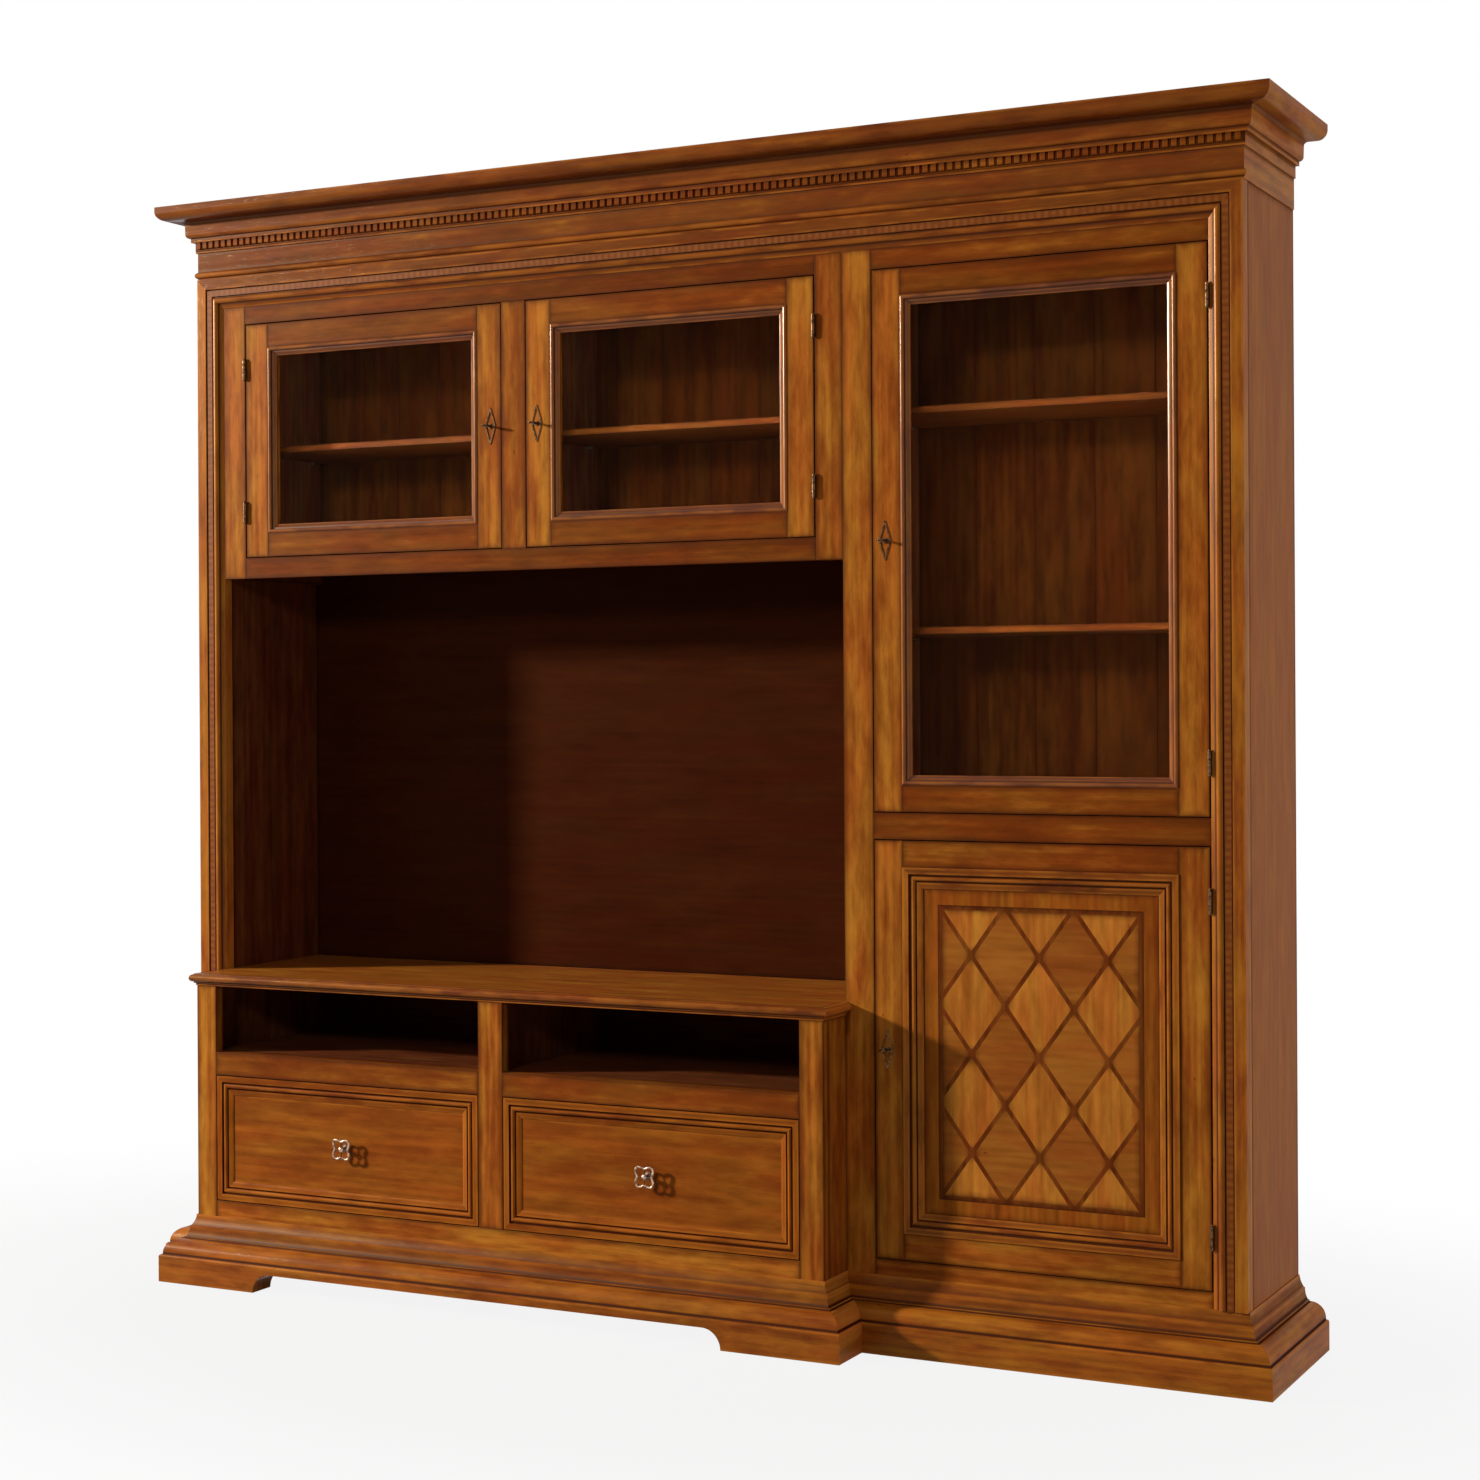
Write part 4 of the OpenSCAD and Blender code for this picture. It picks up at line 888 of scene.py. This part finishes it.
make("surround_moulding", surround_bars(post_line), moulded, "surround", ends=side_woods)
strips = surround_bars(strip_line)
for strip in strips:
    strip["grain"] = strip["grain"] - (0, 0, strip_middle)
make("surround_banding", strips, banding, "surround_inlay", scatter=False)
print("posts:", round(post_h, 3), "m high, head:", round(head_w, 3), "m wide")


# %% [markdown]
# ## Mouldings of the doors and drawers
# The glazed doors have a bead and an ogee that lead down to the glass, with a plain bead
# behind that holds the pane. The inlaid door and the drawers share a wider moulding: a
# flat rim, a deep groove, a bead, and a slope down to the panel.

# %% Glass mouldings
glass_line = section(
    outline(
        (-12, 0), (0, 0), (0, 0.3), arc((-1.5, 4), 4, -66, 66, 13), (0, 7.7), (0, 8),
        (-3, 8), (-1, 10), bend((-1, 10), (-7, 18), -0.9), (-12, 18),
    ),
    rounding=0.4,
    spread=1.4,
)
keeper_line = section(outline((-22, 0), (-16.6, 0), (-16.6, 14), (-22, 14)), rounding=1.2)
glazed = ["upper_left_door", "upper_right_door", "glass_door"]
for door in glazed:
    low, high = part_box(door + "_moulding")
    corners = (low.x, low.z), (high.x, high.z)
    bars = picture_frame(glass_line, *corners, face_y)
    bars += picture_frame(keeper_line, *corners, face_y)
    make(door + "_glass_moulding", bars, bead_wood, door + "_moulding")
print("glass mouldings:", len(glazed))


# %% Panel mouldings
def panel_line(back, lift):
    """The wide moulding, from `back` behind the face to `lift` in front of it."""
    return section(
        outline(
            (-back, 0), (lift, 0), (lift, 12), (-3.5, 12), (-3.5, 14.9),
            arc((-5.5, 19.5), 5, -66, 94, 15), (-6, 27), (-3, 27), (-4, 30),
            bend((-4, 30), (-6, 38), 0.5), (-back, 38),
        ),
        rounding=0.5,
        spread=2.3,
    )


low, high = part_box("panel_door_moulding")
bars = picture_frame(panel_line(20, 2), (low.x, low.z), (high.x, high.z), face_y)
make("inlaid_door_moulding", bars, moulded, "panel_door_moulding")


def slab(low, high, round_by):
    """A flat panel as one bar with rounded edges, its grain along X."""
    deep, tall = (high[1] - low[1]) / MM, (high[2] - low[2]) / MM
    shape = section(outline((0, 0), (deep, 0), (deep, tall), (0, tall)), rounding=round_by)
    return bar(shape, (low[0], high[1], low[2]), X, -Y, Z, high[0] - low[0])


inset, sunk = 38 * MM, 7 * MM
for side in ("left", "right"):
    low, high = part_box(side + "_drawer_front")
    bars = picture_frame(panel_line(19, 0), (low.x, low.z), (high.x, high.z), base_y)
    field_low = low.x + inset, base_y + sunk, low.z + inset
    field_high = high.x - inset, high.y, high.z - inset
    bars.append(slab(field_low, field_high, 0.3))
    make(side + "_drawer_moulded_front", bars, panel_wood, side + "_drawer_front")
print("wide mouldings: 3")


# %% [markdown]
# ## Knobs
# A knob is cast: a wire bent into an open flower of four lobes, a cross of two thin webs in it, and
# a turned boss on a stem. A curve with a bevel could be drawn for the wire, but as a sum it fits the
# size of the imported knob by itself. Its back, its webs and the foot of its stem are painted dark,
# partly as tarnish and partly as painted shade.

# %% Turned shapes and the flower
lobe_dip, clean_from = 0.34, 20 * MM


def turned(centre, profile, count=48):
    """A profile (r, out) turned round a line to -Y: centre + r (cos a X + sin a Z) - out Y."""
    a = np.linspace(0, 2 * np.pi, count, endpoint=False)
    r, out = np.asarray(profile, float).T[:, :, None] * MM
    spokes = np.cos(a)[:, None] * X + np.sin(a)[:, None] * Z
    points = centre + r[..., None] * spokes - out[..., None] * Y
    # Painted darker nearer the drawer: tarnish and painted shade.
    return skin(points, points, np.clip(1 - out / clean_from, 0, 1), 0)


def flower_wire(centre, reach, wire, count=(160, 16)):
    """A wire along the line r = 1 - dip (1 + cos 4a) / 2, scaled so that its lobes come to
    reach. With n the line's outward normal, its skin is line + wire cos b n + wire sin b Y."""
    a, b = (np.linspace(0, 2 * np.pi, n, endpoint=False) for n in count)
    r = 1 - lobe_dip * (1 + np.cos(4 * a)) / 2
    line = np.column_stack([r * np.cos(a), r * np.sin(a)])
    line *= (reach - wire) / line.max()
    way = np.roll(line, -1, 0) - np.roll(line, 1, 0)
    way /= np.linalg.norm(way, axis=1)[:, None]
    along = (line @ np.stack([X, Z]))[:, None]
    out = (np.column_stack([way[:, 1], -way[:, 0]]) @ np.stack([X, Z]))[:, None]
    points = centre + along + wire * np.cos(b)[:, None] * out + wire * np.sin(b)[:, None] * Y
    # The back half of the wire is painted dark: tarnish and painted shade.
    return skin(points, points, np.clip(np.sin(b), 0, 1), 0, hoop=True)


print("a lobe's dip:", lobe_dip, "of the wire's reach")

# %% Two knobs
boss_h = 26
boss = [
    (8, 0), (8, 1.2), (7.6, 2.0), (6.6, 2.5), (6.0, 2.6), (5.4, 3.4), (4.2, 4.2), (3.5, 6.0),
    (3.1, 10.0), (3.1, 14.0), (3.5, 17.5), (4.6, 19.4), (5.4, 20.4), (5.7, 21.6), (5.4, 23.0),
    (4.6, 24.2), (3.4, 25.1), (1.9, 25.7), (0.5, 25.9),
]
wire_r, wire_sunk = 2.3 * MM, 4 * MM
web_line = section(outline(arc((0, 0), 1.2, 0, 330, 12)), rounding=0.2)
for side in ("left", "right"):
    low, high = (np.array(corner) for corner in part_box(side + "_drawer_knob"))
    middle, width, tall = (low + high) / 2, high[0] - low[0], high[1] - low[1]
    heart = np.array([middle[0], low[1] + wire_sunk, middle[2]])
    wire = flower_wire(heart, width / 2, wire_r)
    web_half = 0.34 * width
    webs = [
        bar(web_line, heart - web_half * way, way, -Y, side_way, 2 * web_half)
        for way, side_way in ((X, Z), (Z, -X))
    ]
    # The webs are painted dark all over: tarnish and painted shade.
    webs = [web | {"glaze_and_painted_shade": web["glaze_and_painted_shade"] * 0 + 1} for web in webs]
    foot = np.array([middle[0], high[1], middle[2]])
    stem = turned(foot, np.array(boss) * (1, tall / (boss_h * MM)))
    make(side + "_flower_knob", [stem, wire, *webs], nickel, side + "_drawer_knob", scatter=False)
print("knobs:", round(width * 1000, 1), "mm wide")


# %% [markdown]
# ## Boards, shelves and inlay
# The remaining wooden nodes are dressed as they are. Lozenges get their grain by rows: upright grain
# in the light ones and level grain in the dark ones, which is how a maker turns one veneer into two
# shades. Here the dark ones are also painted darker, as painted shade.

# %% Dress the boards
for node in ("tower_frame", "base_frame", "glass_door_frame", "panel_door_frame"):
    dress(node, cherry, cherry_edge)
# The shelves are painted darker, as painted shade.
dress("shelves", cherry, cherry_edge, shade=-0.6)
# The boards nearest the lamp are painted darker, as painted shade.
shades = {"upper_frame": -0.5, "upper_left_door_frame": -0.5, "upper_right_door_frame": -0.15}
for node, shade in shades.items():
    dress(node, cherry, cherry_edge, shade=shade)
# The desk is painted lighter still, a painted reflection of its polish.
dress("desk_top", desk_wood_painted_light, cherry_edge, shade=1.0)
dress("dentils", dentil_wood)
# The cornice board and the tower's right side take the finish painted lighter, and the left end the
# one painted darker.
dress("cornice_board", right_end_painted_light, right_end_edge_painted_light)
dress("left_end", left_end_painted_shade, left_end_painted_shade, show_x=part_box("left_end")[0].x, inside=inside_wood)
dress("tower_carcass", right_end_painted_light, right_end_edge_painted_light, show_x=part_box("tower_carcass")[1].x, inside=inside_wood)
dress("base_carcass", cherry, cherry_edge, show_x=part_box("base_carcass")[1].x, inside=inside_wood)
dress("upper_carcass", inside_wood)
dress("back_panels", back_wood, rounding=1.0 * MM)
dress("back_boards", boarding_wood, rounding=1.0 * MM)
for node in ("left_drawer_box", "right_drawer_box", "drawer_runners"):
    dress(node, box_wood, rounding=0.5 * MM)
dress("panel_door_panel", panel_wood, rounding=0)
dress("panel_door_lattice", strip_wood, rounding=0)
print("boards dressed")

# %% Lozenges by rows
mesh = dress("panel_door_lozenges", light_lozenge, dark_lozenge_painted_shade, rounding=0, longest=2).data
low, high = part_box("panel_door_lozenges")


def in_dark_row(height):
    """Rows are a sixth of the field apart, and every second one is dark."""
    row = (height - low.z) / (high.z - low.z) * 6
    return np.floor(row + 0.5).astype(int) % 2 == 1


grain_layer = mesh.attributes["grain"].data
grain = vectors(grain_layer, "vector")
spot_layer = mesh.attributes["spot"].data
middle_z = vectors(mesh.vertices, "co")[:, 2] - vectors(spot_layer, "vector")[:, 0]
crosswise = in_dark_row(middle_z)
grain[crosswise] = grain[crosswise][:, [1, 0, 2]]
grain_layer.foreach_set("vector", grain.ravel())
dark = in_dark_row(vectors(mesh.polygons, "center")[:, 2])
mesh.polygons.foreach_set("material_index", dark.astype(np.int32))
print("lozenge faces:", len(dark), "of which dark:", int(dark.sum()))

# %% Glass and metal nodes
finishes = {"glass": glass, "bright_steel": steel, "aged_brass": brass, "antique_nickel": nickel}
bare = [node for node in frame["nodes"] if slot_of_node[node] in finishes]
for node in bare:
    mesh = frame["nodes"][node].data
    mesh.materials.clear()
    mesh.materials.append(finishes[slot_of_node[node]])
    mesh.polygons.foreach_set("material_index", np.zeros(len(mesh.polygons), np.int32))
print("nodes of glass and metal:", len(bare))


# %% [markdown]
# ## Floor, light and background
# The photograph is cut out on white. Its shadows tell where the lamp was: a knob's shadow
# falls to the right and a little down, so the lamp stood far to the left, almost eight
# metres off and a metre higher than the unit. A weak light by the camera opens the shadows,
# another on the right lights the tower's side, and one behind lights the back, which the
# photograph doesn't show. The lamp's size sets how soft the shadow of the base is on the
# tower door.

# %% Floor and background
floor_reach, least_white = 40.0, 0.88


def seen_as_background(f):
    """1 for what the camera sees straight, in metal or through glass, and 0 for other light."""
    path = f.node("ShaderNodeLightPath", output="Is Camera Ray")
    return path + path.part("Is Glossy Ray") + path.part("Is Transmission Ray")


def floor_finish():
    """Pale grey near the unit, where it takes a soft shadow, and white to the eye farther out."""
    f = Finish("studio_floor")
    place = f.place()
    grit = f.noise(place, scale=30.0, detail=3.0)
    colour = f.mix(paint(114, 113, 111), paint(122, 121, 119), grit)
    matt = f.node("ShaderNodeBsdfPrincipled", {}, {"Base Color": colour, "Roughness": 0.7})
    white = f.node("ShaderNodeEmission", {}, {"Color": (1, 1, 1, 1), "Strength": 1.0})
    oval = place.stretched(0.5, 0.8, 1)
    distance = f.node("ShaderNodeVectorMath", {"operation": "LENGTH"}, {0: oval}, "Value")
    veil = distance.between(0.5, 1.5) * (1 - least_white) + least_white
    share = seen_as_background(f) * veil
    return f.end(f.node("ShaderNodeMixShader", {}, {0: share, 1: matt, 2: white}))


corners = np.array([[-1, -1, 0], [1, -1, 0], [1, 1, 0], [-1, 1, 0]]) * floor_reach
ground = bpy.data.meshes.new("studio_floor")
ground.from_pydata(corners.tolist(), [], [[0, 1, 2, 3]])
ground.materials.append(floor_finish())
floor_piece = in_scene("studio_floor", ground)

world = bpy.data.worlds.new("studio")
bpy.context.scene.world = world
sky = Finish("studio", world)
ambient = sky.node("ShaderNodeBackground", {}, {"Color": (1.0, 0.97, 0.93, 1), "Strength": 0.035})
plain = sky.node("ShaderNodeBackground", {}, {"Color": (1, 1, 1, 1), "Strength": 1.0})
both = sky.node("ShaderNodeMixShader", {}, {0: seen_as_background(sky), 1: ambient, 2: plain})
sky.end(both, "ShaderNodeOutputWorld")
print("floor and sky ready")


# %% Lamps
def softbox(name, place, target, size, power, colour, mirrored=False):
    """A square area lamp at a place that looks to a target. Gloss mirrors it, or not."""
    lamp = bpy.data.lights.new(name, "AREA")
    lamp.size, lamp.energy, lamp.color = size, power, colour
    stand = in_scene(name, lamp)
    aim = (Vector(target) - Vector(place)).to_track_quat("-Z", "Y").to_matrix().to_4x4()
    stand.matrix_world = Matrix.Translation(place) @ aim
    stand.visible_camera, stand.visible_glossy = False, mirrored


softbox("lamp_left", (-7.1, -3.55, 3.3), (0, -0.1, 1.1), 0.5, 925, (1.0, 0.95, 0.88), mirrored=True)
softbox("lamp_by_camera", (0.6, -5.0, 2.8), (0, 0, 1.1), 0.5, 47, (1.0, 0.96, 0.92))
softbox("lamp_behind", (-0.6, 6.0, 3.4), (0, 0.3, 1.0), 2.0, 240, (1.0, 0.96, 0.92))
softbox("lamp_right", (4.6, 0.1, 1.2), (1.1, 0, 0.9), 1.6, 43, (1.0, 0.92, 0.84))
bpy.context.scene.view_settings.view_transform = "Standard"
print("lamps: 4")
